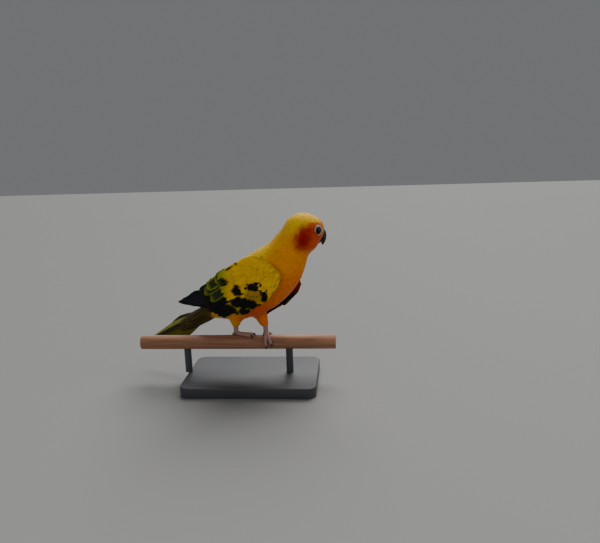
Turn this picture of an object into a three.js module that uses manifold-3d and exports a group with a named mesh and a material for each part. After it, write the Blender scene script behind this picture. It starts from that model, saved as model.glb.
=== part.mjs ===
// A life-size sun conure standing side-on along a cut dowel perch, which a plain stand holds.
// Millimetres, +Z up. +X runs along the perch, the way the bird faces, and -Y is the side it is seen from.
// The origin is the centre of the stand's underside.
import * as THREE from "three";
import { mergeVertices } from "three/addons/utils/BufferGeometryUtils.js";
import Module from "manifold-3d";

const wasm = await Module();
wasm.setup();

// Driving dimensions
const perchRadius = 8;
const perchLength = 224;
const perchCentreX = -16;
const perchHeight = 48; // of the dowel's axis above the floor
const baseLength = 150;
const baseDepth = 96;
const baseThickness = 12;
const rodRadius = 4;
const rodSpacing = 118;
const bodyYaw = THREE.MathUtils.degToRad(18); // the body points this far to the near side of the perch
const headYaw = THREE.MathUtils.degToRad(49); // the head is turned back to the left of the body
const headPitch = THREE.MathUtils.degToRad(4); // the bill is held this far down
const headCentre = new THREE.Vector3(70, 0, 129);
const tailLength = 105; // from the tail's root to the tip of its longest feather
const gap = 0.32; // between pieces that touch
const roomGap = 0.42; // the same, round the coarser body surfaces

// Forms as distance functions, in the bird's frame: x forward, y to its left, z up, from the perch's axis

const softMin = (a, b, k) => {
  const h = Math.max(k - Math.abs(a - b), 0) / k;
  return Math.min(a, b) - (h * h * k) / 4;
};

function ellipsoid(centre, radii, frame = new THREE.Matrix4()) {
  const inverse = frame.clone().multiply(new THREE.Matrix4().makeTranslation(...centre)).invert();
  const q = new THREE.Vector3();
  return (p) => {
    q.copy(p).applyMatrix4(inverse);
    const k0 = Math.hypot(q.x / radii[0], q.y / radii[1], q.z / radii[2]);
    const k1 = Math.hypot(q.x / radii[0] ** 2, q.y / radii[1] ** 2, q.z / radii[2] ** 2);
    return k1 < 1e-9 ? -Math.min(...radii) : (k0 * (k0 - 1)) / k1;
  };
}

function taperedCapsule(a, b, radiusA, radiusB) {
  const start = new THREE.Vector3(...a);
  const along = new THREE.Vector3(...b).sub(start);
  const q = new THREE.Vector3();
  return (p) => {
    q.copy(p).sub(start);
    const t = THREE.MathUtils.clamp(q.dot(along) / along.lengthSq(), 0, 1);
    return q.addScaledVector(along, -t).length() - THREE.MathUtils.lerp(radiusA, radiusB, t);
  };
}

const softUnion = (k, ...forms) => (p) => forms.reduce((d, form) => softMin(d, form(p), k), 1e3);

function belowPlane(point, normal, extra = 0) {
  const n = new THREE.Vector3(...normal).normalize();
  const offset = n.dot(new THREE.Vector3(...point)) + extra;
  return (p) => n.dot(p) - offset;
}

const overlapOf = (k, ...forms) => (p) => -forms.reduce((d, form) => softMin(d, -form(p), k), 1e3);

// Solids

function solidFrom(positions, triangles) {
  const geometry = new THREE.BufferGeometry();
  geometry.setAttribute("position", new THREE.Float32BufferAttribute(positions, 3));
  geometry.setIndex(triangles);
  const merged = mergeVertices(geometry, 1e-4);
  return new wasm.Manifold(
    new wasm.Mesh({
      numProp: 3,
      vertProperties: merged.attributes.position.array,
      triVerts: new Uint32Array(merged.index.array),
    }),
  );
}

function largest(solid) {
  return solid.decompose().reduce((best, piece) => (piece.volume() > best.volume() ? piece : best));
}

// The closed surface where a form's distance is zero, as one point in each crossed cell of a grid.
// A grid on which four faces would share an edge is moved a little and tried again.
function surfaceOf(form, low, high, step) {
  for (const shift of [0, 0.21, 0.37, 0.13, 0.45]) {
    const { positions, triangles } = netOf(form, low.map((v) => v - shift * step), high, step);
    if (!pinched(triangles)) return solidFrom(positions, triangles);
  }
  throw new Error("no grid gives a clean surface");
}

function pinched(triangles) {
  const seen = new Set();
  for (let i = 0; i < triangles.length; i++) {
    const next = i % 3 === 2 ? i - 2 : i + 1;
    const edge = triangles[i] * 1e6 + triangles[next];
    if (seen.has(edge)) return true;
    seen.add(edge);
  }
  return false;
}

function netOf(form, low, high, step) {
  const count = [0, 1, 2].map((axis) => Math.ceil((high[axis] - low[axis]) / step) + 1);
  const at = (i, j, k) => (i * count[1] + j) * count[2] + k;
  const values = new Float64Array(count[0] * count[1] * count[2]);
  const p = new THREE.Vector3();
  for (let i = 0; i < count[0]; i++)
    for (let j = 0; j < count[1]; j++)
      for (let k = 0; k < count[2]; k++) {
        p.set(low[0] + i * step, low[1] + j * step, low[2] + k * step);
        values[at(i, j, k)] = form(p);
      }
  const corners = [0, 1, 2, 3, 4, 5, 6, 7].map((n) => [n & 1, (n >> 1) & 1, n >> 2]);
  const edges = [];
  for (let a = 0; a < 8; a++)
    for (const bit of [1, 2, 4]) if (!(a & bit)) edges.push([a, a | bit]);
  const pointOf = new Map();
  const positions = [];
  const slope = new THREE.Vector3();
  const probe = new THREE.Vector3();
  const reach = 0.05;
  for (let i = 0; i + 1 < count[0]; i++)
    for (let j = 0; j + 1 < count[1]; j++)
      for (let k = 0; k + 1 < count[2]; k++) {
        const v = corners.map(([a, b, c]) => values[at(i + a, j + b, k + c)]);
        if (v.every((d) => d > 0) || v.every((d) => d <= 0)) continue;
        p.set(0, 0, 0);
        let crossings = 0;
        for (const [a, b] of edges) {
          if (v[a] > 0 === v[b] > 0) continue;
          const t = v[a] / (v[a] - v[b]);
          const from = corners[a];
          const to = corners[b];
          p.x += from[0] + (to[0] - from[0]) * t;
          p.y += from[1] + (to[1] - from[1]) * t;
          p.z += from[2] + (to[2] - from[2]) * t;
          crossings++;
        }
        p.divideScalar(crossings);
        p.set(low[0] + (i + p.x) * step, low[1] + (j + p.y) * step, low[2] + (k + p.z) * step);
        for (let pass = 0; pass < 2; pass++) {
          const d = form(p);
          for (const axis of ["x", "y", "z"]) {
            probe.copy(p)[axis] += reach;
            slope[axis] = (form(probe) - d) / reach;
          }
          const move = THREE.MathUtils.clamp(-d / Math.max(slope.lengthSq(), 0.2), -step / 4, step / 4);
          p.addScaledVector(slope, move);
        }
        pointOf.set(at(i, j, k), positions.length / 3);
        positions.push(p.x, p.y, p.z);
      }
  const triangles = [];
  const point = (n) => new THREE.Vector3().fromArray(positions, n * 3);
  const square = (a, b, c, d, turned) => {
    const quad = turned ? [a, d, c, b] : [a, b, c, d];
    const across = point(quad[0]).distanceTo(point(quad[2])) <= point(quad[1]).distanceTo(point(quad[3]));
    const [e, f, g, h] = across ? quad : [quad[1], quad[2], quad[3], quad[0]];
    triangles.push(e, f, g, e, g, h);
  };
  for (let i = 1; i + 1 < count[0]; i++)
    for (let j = 1; j + 1 < count[1]; j++)
      for (let k = 1; k + 1 < count[2]; k++) {
        const inside = values[at(i, j, k)] <= 0;
        const cell = (a, b, c) => pointOf.get(at(i - a, j - b, k - c));
        if (inside !== values[at(i + 1, j, k)] <= 0)
          square(cell(0, 0, 0), cell(0, 1, 0), cell(0, 1, 1), cell(0, 0, 1), !inside);
        if (inside !== values[at(i, j + 1, k)] <= 0)
          square(cell(0, 0, 0), cell(0, 0, 1), cell(1, 0, 1), cell(1, 0, 0), !inside);
        if (inside !== values[at(i, j, k + 1)] <= 0)
          square(cell(0, 0, 0), cell(1, 0, 0), cell(1, 1, 0), cell(0, 1, 0), !inside);
      }
  return { positions, triangles };
}

// A closed skin through rings of points, each ring with as many points, with flat ends
function lofted(rings) {
  const n = rings[0].length;
  const positions = rings.flat().flatMap((q) => [q.x, q.y, q.z]);
  const triangles = [];
  for (let r = 0; r + 1 < rings.length; r++)
    for (let i = 0; i < n; i++) {
      const a = r * n + i;
      const b = r * n + ((i + 1) % n);
      triangles.push(a, b, b + n, a, b + n, a + n);
    }
  const last = (rings.length - 1) * n;
  for (let i = 1; i + 1 < n; i++) {
    triangles.push(0, i + 1, i);
    triangles.push(last, last + i, last + i + 1);
  }
  const solid = solidFrom(positions, triangles);
  return solid.volume() < 0 ? solidFrom(positions, flipped(triangles)) : solid;
}

const flipped = (triangles) => triangles.map((_, i) => triangles[i - (i % 3) + ((3 - (i % 3)) % 3)]);

// Frames: the head's, and that of a folded wing, whose x runs to its tip, y up across it and z out of it

const frameAt = (point, ...turns) =>
  turns.reduce((m, turn) => m.multiply(turn), new THREE.Matrix4().makeTranslation(...point));
const turnZ = (angle) => new THREE.Matrix4().makeRotationZ(angle);
const turnY = (angle) => new THREE.Matrix4().makeRotationY(angle);
const turnX = (angle) => new THREE.Matrix4().makeRotationX(angle);
const degrees = THREE.MathUtils.degToRad;

const headFrame = frameAt(headCentre, turnZ(headYaw), turnY(headPitch));
const fromHead = (x, y, z) => new THREE.Vector3(x, y, z).applyMatrix4(headFrame);

// Body forms

const headForm = softUnion(
  6,
  ellipsoid([0, 0, 2], [19.5, 15.5, 17], headFrame), // skull
  ellipsoid([-6, 0, 3.6], [16, 13, 14.8], headFrame), // crown
  ellipsoid([9.3, 0, 1.6], [12, 10.5, 11.5], headFrame), // face
  ellipsoid([0.5, 6, -6], [10.5, 8.8, 10.5], headFrame), // cheeks
  ellipsoid([0.5, -6, -6], [10.5, 8.8, 10.5], headFrame),
  ellipsoid([2.5, 0, -9.5], [9, 8, 7.5], headFrame), // chin
);
const trunkForm = softUnion(
  10,
  ellipsoid([0, 0, 0], [55, 26.8, 28.3], frameAt([21.9, 0, 71.5], turnY(degrees(-40)))), // breast and belly
  taperedCapsule([22, 0, 90], [-50, 0, 45], 18, 9), // back
  taperedCapsule([-18, 0, 52], [-62, 0, 29.5], 18, 9.5), // rump
  ellipsoid([0, 0, 0], [25, 13, 12], frameAt([-24, 0, 37.5])), // vent
  taperedCapsule([37.5, 0, 93], [63, 0, 121.5], 24, 18), // neck
);
const bodyForm = (p) => softMin(trunkForm(p), headForm(p), 10);

const neckBase = { point: [44, 0, 98], normal: [0.5, 0, 0.866] };
const headNormal = new THREE.Vector3(0.5, 0, 0.866).transformDirection(headFrame);
const headBase = { point: fromHead(-6, 0, -12).toArray(), normal: headNormal.toArray() };

function planeOffset({ point, normal }, extra = 0) {
  const n = new THREE.Vector3(...normal).normalize();
  return { normal: n.toArray(), offset: n.dot(new THREE.Vector3(...point)) + extra };
}

// The part of a solid on the plane's far side, or on its near side
function above(solid, plane) {
  const { normal, offset } = planeOffset(plane, gap / 2);
  return solid.trimByPlane(normal, offset);
}

function below(solid, plane) {
  const { normal, offset } = planeOffset(plane, -gap / 2);
  return solid.trimByPlane(normal.map((v) => -v), -offset);
}

const overlap = 6; // how far a form runs past the plane that trims it
const beyond = (plane) => belowPlane(plane.point, plane.normal.map((v) => -v), overlap);
const swollen = (form, extra = gap) => (p) => form(p) - extra;

const bodyLow = [-80, -37.1, 10];
const bodyHigh = [102, 36, 158];
const tailRoot = new THREE.Vector3(-58, 0, 28.5);
const tailSlope = degrees(27.5); // of the tail, below level
const tailAlong = new THREE.Vector3(-Math.cos(tailSlope), 0, -Math.sin(tailSlope));
const tailBase = { point: tailRoot.toArray(), normal: tailAlong.toArray() };
const bodyStep = 5;
const headStep = 2.9;
const trunk = surfaceOf(bodyForm, bodyLow, bodyHigh, bodyStep);
const torso = largest(below(below(trunk, neckBase), tailBase));
const neck = largest(below(above(trunk, neckBase), headBase));
const bodyRoom = surfaceOf(swollen(bodyForm, roomGap), bodyLow, bodyHigh, bodyStep);

// Loft of an oval section between two edge curves, in the head's frame
function billPart(upper, lower, halfWidths, extra = 0) {
  const stations = 7;
  const sides = 10;
  const rings = [];
  for (let s = 0; s < stations; s++) {
    const t = s / (stations - 1);
    const top = upper.getPoint(t);
    const bottom = lower.getPoint(t);
    const middle = top.clone().add(bottom).divideScalar(2);
    const pastEnd = t === 0 ? -extra : t === 1 ? extra : 0;
    middle.addScaledVector(upper.getTangent(t).add(lower.getTangent(t)).normalize(), pastEnd);
    const up = top.clone().sub(bottom).divideScalar(2);
    const half = up.length();
    up.normalize();
    const across = halfWidths(t) + extra;
    const ring = [];
    for (let i = 0; i < sides; i++) {
      const angle = (2 * Math.PI * i) / sides;
      const lift = Math.cos(angle) * (half + extra);
      const side = Math.sin(angle) * across;
      ring.push(fromHead(middle.x + up.x * lift, side, middle.z + up.z * lift));
    }
    rings.push(ring);
  }
  return lofted(rings);
}

const curve = (...points) =>
  new THREE.CubicBezierCurve3(...points.map(([x, z]) => new THREE.Vector3(x - 1.5, 0, z)));
const culmen = curve([12.5, 4.5], [25, 7.5], [30.5, -3], [23.2, -14.8]);
const upperEdge = curve([10, -5.4], [16, -6.8], [21.5, -5.6], [22.2, -14.4]);
const lowerEdge = curve([9, -6.6], [13, -7.6], [18, -8.2], [20.4, -9.6]);
const lowerRidge = curve([7, -13], [12, -14.6], [17.5, -14.4], [20.2, -11]);
const upperHalfWidth = (t) => 6.1 * Math.sqrt(1 - t ** 2.2) + 0.5;
const lowerHalfWidth = (t) => 5.2 * Math.sqrt(1 - 0.75 * t * t);
const upperBill = (extra) => billPart(culmen, upperEdge, upperHalfWidth, extra);
const lowerBill = (extra) => billPart(lowerEdge, lowerRidge, lowerHalfWidth, extra);

const eyeRadius = 5;
const eyeAngle = degrees(15); // the eyes look this far forward of sideways
const eyeDepth = 3.2; // from the ball's centre out to the plane of the lids
const sphere = (radius, detail = 2) => new THREE.IcosahedronGeometry(radius, detail);

function geometrySolid(geometry, matrix = new THREE.Matrix4()) {
  const g = geometry.clone().applyMatrix4(matrix);
  g.deleteAttribute("normal");
  g.deleteAttribute("uv");
  const merged = mergeVertices(g, 1e-4);
  return solidFrom(merged.attributes.position.array, Array.from(merged.index.array));
}

// side is 1 for the left and -1 for the right
function eyeParts(side) {
  const lookingOut = new THREE.Vector3(Math.sin(eyeAngle), side * Math.cos(eyeAngle), 0);
  const lidCentre = new THREE.Vector3(8.4, side * 13.9, 2.2);
  const centre = lidCentre.clone().addScaledVector(lookingOut, -eyeDepth);
  const turn = new THREE.Quaternion().setFromUnitVectors(new THREE.Vector3(0, 0, 1), lookingOut);
  const place = (point) =>
    headFrame.clone().multiply(new THREE.Matrix4().compose(point, turn, new THREE.Vector3(1, 1, 1)));
  const ring = geometrySolid(
    sphere(5.6).scale(1, 1, 0.34),
    place(lidCentre.clone().addScaledVector(lookingOut, -1.6)),
  );
  const lids = geometrySolid(new THREE.TorusGeometry(4.5, 0.85, 7, 20), place(lidCentre));
  return {
    ball: geometrySolid(sphere(eyeRadius), place(centre)),
    room: geometrySolid(sphere(eyeRadius + gap), place(centre)),
    surround: ring.add(lids),
  };
}

const eyes = { left: eyeParts(1), right: eyeParts(-1) };

function makeHead() {
  const low = headCentre.toArray().map((v) => v - 46.3);
  const high = headCentre.toArray().map((v) => v + 32);
  const form = overlapOf(overlap, bodyForm, beyond(headBase));
  let solid = above(surfaceOf(form, low, high, headStep), headBase);
  const cerePlace = headFrame.clone().multiply(frameAt([16, 0, 4.4]));
  const cere = geometrySolid(sphere(1).scale(3.2, 5.2, 3.2), cerePlace);
  solid = solid.add(cere).add(eyes.left.surround).add(eyes.right.surround);
  solid = solid.subtract(eyes.left.room).subtract(eyes.right.room);
  solid = solid.subtract(upperBill(gap)).subtract(lowerBill(gap));
  for (const side of [1, -1]) {
    const nostril = frameAt([17.4, side * 2.3, 6.6]);
    solid = solid.subtract(geometrySolid(sphere(0.9, 1), headFrame.clone().multiply(nostril)));
  }
  return largest(solid);
}

const head = makeHead();
const billUpper = upperBill(0).subtract(lowerBill(gap));
const billLower = lowerBill(0);

// Thighs

const intoBird = new THREE.Matrix4().makeRotationZ(bodyYaw); // from axes along the perch
const onPerch = (x, y, z) => new THREE.Vector3(x, y, z).applyMatrix4(intoBird);
const footAt = { left: 17, right: -17 };
const ankleHeight = perchRadius + 12;
const hip = { left: [3, 8.5, 46], right: [-13, -8.5, 46] };

function thighForm(side) {
  const ankle = onPerch(footAt[side], 0, ankleHeight - 2);
  return taperedCapsule(hip[side], ankle.toArray(), 11.5, 4.2);
}

const thighLow = [-34, -26, 8];
const thighHigh = [34, 30, 64];
const thighStep = 3.8;
const thighOf = (side, extra) =>
  surfaceOf(swollen(thighForm(side), extra), thighLow, thighHigh, thighStep);
const makeThigh = (side) =>
  largest(thighOf(side, 0).trimByPlane([0, 0, 1], ankleHeight).subtract(bodyRoom));

// Wings: laid out flat as seen from beside the bird, then draped on a form that follows body and wing

const wingOutward = new THREE.Vector3(0.38, -0.9, 0.22).normalize(); // for the right wing
const flatCurve = (...points) =>
  new THREE.CatmullRomCurve3(points.map(([x, z]) => new THREE.Vector3(x, 0, z)));
const wingLower = flatCurve(
  [41.5, 79], [37, 66], [24, 53.5], [7, 43.5], [-13, 34], [-35, 32.5], [-55, 31], [-76, 35], [-93, 40.6],
);
const wingUpper = flatCurve(
  [39, 85], [27, 94], [11, 98], [-8, 95.5], [-24, 87.5], [-40, 76], [-56, 65], [-78, 51], [-93, 41.8],
);
const slabYaw = degrees(7.5); // the wings close on each other toward their tips
const slabPitch = degrees(-16);
const drop = { left: { turn: degrees(-6), shift: [1, 0, -18] }, right: { turn: 0, shift: [0, 0, 0] } };

function wingLayout(side) {
  const sign = side === "left" ? 1 : -1;
  const { turn, shift } = drop[side];
  const hinge = new THREE.Vector3(40, 0, 80);
  const lay = new THREE.Matrix4()
    .makeTranslation(...shift)
    .multiply(new THREE.Matrix4().makeTranslation(hinge.x, 0, hinge.z))
    .multiply(turnY(-turn))
    .multiply(new THREE.Matrix4().makeTranslation(-hinge.x, 0, -hinge.z));
  const slabTurns = [turnZ(sign * slabYaw), turnY(slabPitch)];
  const slabFrame = lay.clone().multiply(frameAt([-19, sign * 10, 62], ...slabTurns));
  const slab = ellipsoid([0, 0, 0], [108, 9, 37], slabFrame);
  const form = softUnion(10, swollen(trunkForm, 1.9), slab);
  const outward = wingOutward.clone();
  if (sign > 0) outward.y *= -1;
  return { lay, form, outward };
}

const farOut = 60;
const leastOut = 6; // a point off the form's edge stays this far beside the bird's middle

// The point on a wing's form under a point of its flat layout, and the way out of it there
function draped({ form, outward, lay }, x, z) {
  const flat = new THREE.Vector3(x, 0, z).applyMatrix4(lay);
  const p = new THREE.Vector3();
  let from = farOut;
  for (let d = 1; d > 0.01 && from > leastOut; ) {
    p.copy(flat).addScaledVector(outward, from);
    d = form(p);
    if (d > 0.01) from -= Math.max(d * 0.8, 0.05);
  }
  if (from < leastOut) p.copy(flat).addScaledVector(outward, leastOut);
  const normal = new THREE.Vector3();
  const probe = new THREE.Vector3();
  const here = form(p);
  for (const axis of ["x", "y", "z"]) {
    probe.copy(p)[axis] += 0.2;
    normal[axis] = form(probe) - here;
  }
  return { p: p.clone(), normal: normal.normalize() };
}

// A closed sheet over a grid of points, each with the way out and the two distances along it
function sheet(rows) {
  const n = rows[0].length;
  const count = rows.length * n;
  const positions = [];
  for (const key of ["over", "under"])
    for (const row of rows)
      for (const cell of row) {
        const q = cell.p.clone().addScaledVector(cell.normal, cell[key]);
        positions.push(q.x, q.y, q.z);
      }
  const triangles = [];
  const two = (a, b, c, d) => triangles.push(a, b, c, a, c, d);
  for (let r = 0; r + 1 < rows.length; r++)
    for (let i = 0; i + 1 < n; i++) {
      const a = r * n + i;
      const b = count + a;
      triangles.push(a, a + 1, a + n + 1, a, a + n + 1, a + n);
      triangles.push(b, b + n + 1, b + 1, b, b + n, b + n + 1);
    }
  for (let i = 0; i + 1 < n; i++) {
    const last = (rows.length - 1) * n + i;
    two(i, count + i, count + i + 1, i + 1);
    two(last, last + 1, count + last + 1, count + last);
  }
  for (let r = 0; r + 1 < rows.length; r++) {
    const a = r * n;
    const b = a + n - 1;
    two(a, a + n, count + a + n, count + a);
    two(b, count + b, count + b + n, b + n);
  }
  const solid = solidFrom(positions, triangles);
  return solid.volume() < 0 ? solidFrom(positions, flipped(triangles)) : solid;
}

// Rows of a tier of vanes: roots and tips on two curves, from the wing's lower edge up. Each vane
// rises from lift 0 at its root, sunk in the core, to `lift` at its tip. The edge nearer the wing's
// lower side is raised, so that each vane lies over the one below it.
const wingTiers = [
  {
    kind: "primaries",
    count: 7,
    roots: flatCurve([-22, 36], [-30, 43], [-36, 50]),
    tips: flatCurve([-93, 41], [-84, 45.5], [-73, 52]),
    halfWidth: 4.6,
    lift: 0.9,
    rows: 5,
    blunt: 0.3,
  },
  {
    kind: "secondaries",
    count: 7,
    roots: flatCurve([0, 46], [-6, 54], [-14, 66], [-18, 74]),
    tips: flatCurve([-33, 33.5], [-46, 40], [-56, 49], [-63, 58]),
    halfWidth: 4.9,
    lift: 1.5,
    rows: 5,
    blunt: 0.6,
  },
  {
    kind: "tertials",
    count: 3,
    roots: flatCurve([-20, 72], [-20, 78], [-18, 83]),
    tips: flatCurve([-60, 58.5], [-53, 64.5], [-45, 70]),
    halfWidth: 4.8,
    lift: 2.2,
    rows: 4,
    blunt: 0.6,
  },
  {
    kind: "greater coverts",
    count: 9,
    roots: flatCurve([34, 69], [22, 62], [12, 66], [4, 78], [0, 90]),
    tips: flatCurve([20, 52], [-2, 42], [-20, 45.5], [-32, 58], [-38, 74]),
    halfWidth: 5.2,
    lift: 2.1,
    rows: 4,
    blunt: 0.7,
  },
  {
    kind: "median coverts",
    count: 7,
    roots: flatCurve([37, 77], [28, 75], [20, 80], [16, 92]),
    tips: flatCurve([25, 60], [5, 56], [-10, 64], [-18, 86]),
    halfWidth: 5.4,
    lift: 2.6,
    rows: 4,
    blunt: 0.7,
  },
];
const vaneThickness = 0.62;
const shingle = 0.36; // each edge of a vane is this far above or below its middle
const rootSink = 0.3;

// How wide a vane is at t of its length, with a rounded tip of a given bluntness
function vaneOutline(t, blunt) {
  const shoulder = Math.min(1, 0.72 + 0.9 * t);
  return t < 0.75 ? shoulder : shoulder * (1 - (1 - 0.45 * blunt) * ((t - 0.75) / 0.25) ** 2);
}

function wingVane(layout, tier, root, tip) {
  const along = tip.clone().sub(root);
  const across = new THREE.Vector3(along.z, 0, -along.x).normalize();
  if (across.z < 0) across.negate();
  const rows = [];
  for (let r = 0; r < tier.rows; r++) {
    const t = 1 - (1 - r / (tier.rows - 1)) ** 1.3;
    const half = tier.halfWidth * vaneOutline(t, tier.blunt);
    const height = -rootSink + (tier.lift + rootSink) * t;
    const middle = root.clone().addScaledVector(along, t);
    rows.push(
      [-1, 1].map((edge) => {
        const q = middle.clone().addScaledVector(across, edge * half);
        const over = height - edge * shingle * Math.min(1, 3 * t);
        return { ...draped(layout, q.x, q.z), over, under: over - vaneThickness };
      }),
    );
  }
  return sheet(rows);
}

const coreReach = 0.74; // of the way to the wing's tip
const coreRise = 0.5; // over the form, along the core's middle
const coreThickness = 4.7; // there, at its front

function wingCore(layout) {
  const rows = [];
  const along = 9;
  const across = 5;
  for (let r = 0; r <= along; r++) {
    const t = (coreReach * r) / along;
    const low = wingLower.getPoint(t);
    const high = wingUpper.getPoint(t);
    const row = [];
    for (let i = 0; i <= across; i++) {
      const u = 0.04 + (0.92 * i) / across;
      const cell = draped(layout, low.x + (high.x - low.x) * u, low.z + (high.z - low.z) * u);
      const middle = Math.min(1, 4 * u * (1 - u)) * Math.min(1, 0.3 + 4 * t);
      const under = -1 - (coreThickness - coreRise - 1) * middle * (1 - 0.7 * t);
      row.push({ ...cell, over: coreRise * middle, under });
    }
    rows.push(row);
  }
  return sheet(rows);
}

function makeWing(side) {
  const layout = wingLayout(side);
  let solid = wingCore(layout);
  for (const tier of wingTiers)
    for (let i = 0; i < tier.count; i++) {
      const t = i / (tier.count - 1);
      solid = solid.add(wingVane(layout, tier, tier.roots.getPoint(t), tier.tips.getPoint(t)));
    }
  return largest(solid.subtract(bodyRoom).subtract(thighOf(side, roomGap)));
}

const wings = { left: makeWing("left"), right: makeWing("right") };

// Tail: a closed fan of twelve graduated feathers over a core of coverts, rolled so that its left edge
// is raised. In its frame x runs to the tip and z points out of its underside.

const tailRoll = degrees(52);
const tailFrame = frameAt(tailRoot, turnY(Math.PI - tailSlope), turnX(-tailRoll));
const tailPairs = 6;
const tailSpread = 1.55; // between neighbouring feathers at the tips
const tailLayer = 0.72; // between the layers of neighbouring feathers
const tailStart = 8; // of the feathers, from the tail's root
const tailStep = 0.085; // how much of its length each pair falls short of the one before
const tailSink = 2; // of the middle feathers below the tail's middle plane
const tailCup = 0.1; // the fan's edges curl this much to the underside
const coverts = 0.46; // of the tail's length, that the core of coverts reaches

function tailCore() {
  const rings = [];
  const stations = 5;
  const sides = 12;
  for (let s = 0; s <= stations; s++) {
    const t = (coverts * s) / stations;
    const x = gap / 2 + t * tailLength;
    const halfWidth = 9.3 - 6 * (s / stations) ** 3;
    const halfDepth = 0.9 + 8.4 * Math.max(0, 1 - t / 0.5) ** 1.6;
    const ring = [];
    for (let i = 0; i < sides; i++) {
      const angle = (2 * Math.PI * i) / sides;
      const out = new THREE.Vector3(x, Math.sin(angle) * halfWidth, Math.cos(angle) * halfDepth);
      ring.push(out.applyMatrix4(tailFrame));
    }
    rings.push(ring);
  }
  return lofted(rings);
}

const tailVaneHalf = flatCurve([0, 3.6], [35, 5.4], [70, 5], [90, 3], [100, 0.6]);

// pair is 0 for the middle feathers, which are the longest and lie on top
function tailVane(pair, side) {
  const length = tailLength * (1 - tailStep * pair ** 1.1);
  const underside = new THREE.Vector3(0, 0, 1).transformDirection(tailFrame);
  const rows = [0, 0.25, 0.5, 0.75, 1].map((step) => {
    const { x: percent, z: half } = tailVaneHalf.getPoint(step);
    const t = percent / 100;
    const x = tailStart + (length - tailStart) * t;
    const middle = side * (0.9 + pair * (0.7 + tailSpread * Math.min(1, 1.4 * t)));
    return [-1, 1].map((edge) => {
      const y = middle + edge * half;
      const over = (pair + side / 4) * tailLayer + tailCup * Math.abs(y) - tailSink;
      const p = new THREE.Vector3(x, y, 0).applyMatrix4(tailFrame);
      return { p, normal: underside, over, under: over - vaneThickness };
    });
  });
  return sheet(rows);
}

function makeTail() {
  let solid = tailCore();
  for (let pair = 0; pair < tailPairs; pair++)
    for (const side of [1, -1]) solid = solid.add(tailVane(pair, side));
  return largest(solid);
}

const tail = makeTail();

// Legs: toes wrap the perch. reach is in degrees round it from the top, to the near side if negative,
// start the same at the toe's root, and drift the way along the perch to the toe's tip

const toeRadius = 1.9;
const clawTurn = 30; // degrees round the perch that a claw reaches
const wrapRadius = perchRadius + toeRadius + gap;

function tube(points, radii, sides = 7) {
  const path = new THREE.CatmullRomCurve3(points);
  const rings = points.map((p, i) => {
    const along = path.getTangent(i / (points.length - 1));
    const first = Math.abs(along.x) < 0.9 ? new THREE.Vector3(1, 0, 0) : new THREE.Vector3(0, 0, 1);
    const a = first.addScaledVector(along, -first.dot(along)).normalize();
    const b = along.clone().cross(a);
    return [...Array(sides).keys()].map((n) => {
      const angle = (2 * Math.PI * n) / sides;
      const q = p.clone().addScaledVector(a, Math.cos(angle) * radii[i]);
      return q.addScaledVector(b, Math.sin(angle) * radii[i]);
    });
  });
  return lofted(rings);
}

const toes = {
  right: [
    { reach: -34, start: -6, drift: 18 },
    { reach: -14, start: -6, drift: 21 },
    { reach: 66, start: 6, drift: -6 },
    { reach: 56, start: 6, drift: 5 },
  ],
  left: [
    { reach: -98, start: -6, drift: 1 },
    { reach: -84, start: -6, drift: 7 },
    { reach: 66, start: 6, drift: -4 },
    { reach: 56, start: 6, drift: 5 },
  ],
};

function makeFoot(side) {
  const x = footAt[side];
  const around = (angle, drift, out = 0) => {
    const a = degrees(angle);
    return onPerch(x + drift, Math.sin(a) * (wrapRadius + out), Math.cos(a) * (wrapRadius + out));
  };
  const top = onPerch(x, 0, ankleHeight - gap);
  const hub = around(0, 0, 0.8);
  let foot = tube([top, top.clone().lerp(hub, 0.5), hub], [2.7, 2.3, 2.2]);
  foot = foot.add(geometrySolid(sphere(2.7, 1), frameAt(hub)));
  for (const { reach, start, drift } of toes[side]) {
    const points = [];
    const radii = [];
    for (let i = 0; i <= 5; i++) {
      const t = i / 5;
      points.push(around(start * 0.3 + (reach - start * 0.3) * t, drift * (0.1 + 0.9 * t), 0.1));
      radii.push(toeRadius * (1.02 - 0.2 * t + (i % 2 ? 0.04 : -0.04)));
    }
    foot = foot.add(tube(points, radii));
    const tips = [0, 0.35, 0.7, 1].map((t) => {
      const turn = (Math.sign(reach) * clawTurn * t * perchRadius) / wrapRadius;
      return around(reach + turn, drift * (1 + 0.12 * t), 0.5 + 1.2 * Math.sin(Math.PI * t));
    });
    foot = foot.add(tube(tips, [1.2, 1.0, 0.65, 0.3], 6));
  }
  return largest(foot);
}

const feet = { left: makeFoot("left"), right: makeFoot("right") };
const thighs = { left: makeThigh("left"), right: makeThigh("right") };

// Perch and stand, in the axes of the whole

const rod = (radius, length, sides) =>
  geometrySolid(new THREE.CylinderGeometry(radius, radius, length, sides));
const perchFrame = frameAt([perchCentreX, 0, perchHeight], turnZ(Math.PI / 2));
const perch = rod(perchRadius, perchLength, 32).transform(perchFrame.elements);
const perchRoom = rod(perchRadius + gap, perchLength + 2, 32).transform(perchFrame.elements);

function makeRod(end) {
  const length = perchHeight - baseThickness - gap;
  const x = perchCentreX + (end * rodSpacing) / 2;
  const place = frameAt([x, 0, baseThickness + gap + length / 2], turnX(Math.PI / 2));
  return largest(rod(rodRadius, length, 20).transform(place.elements).subtract(perchRoom));
}

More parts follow.
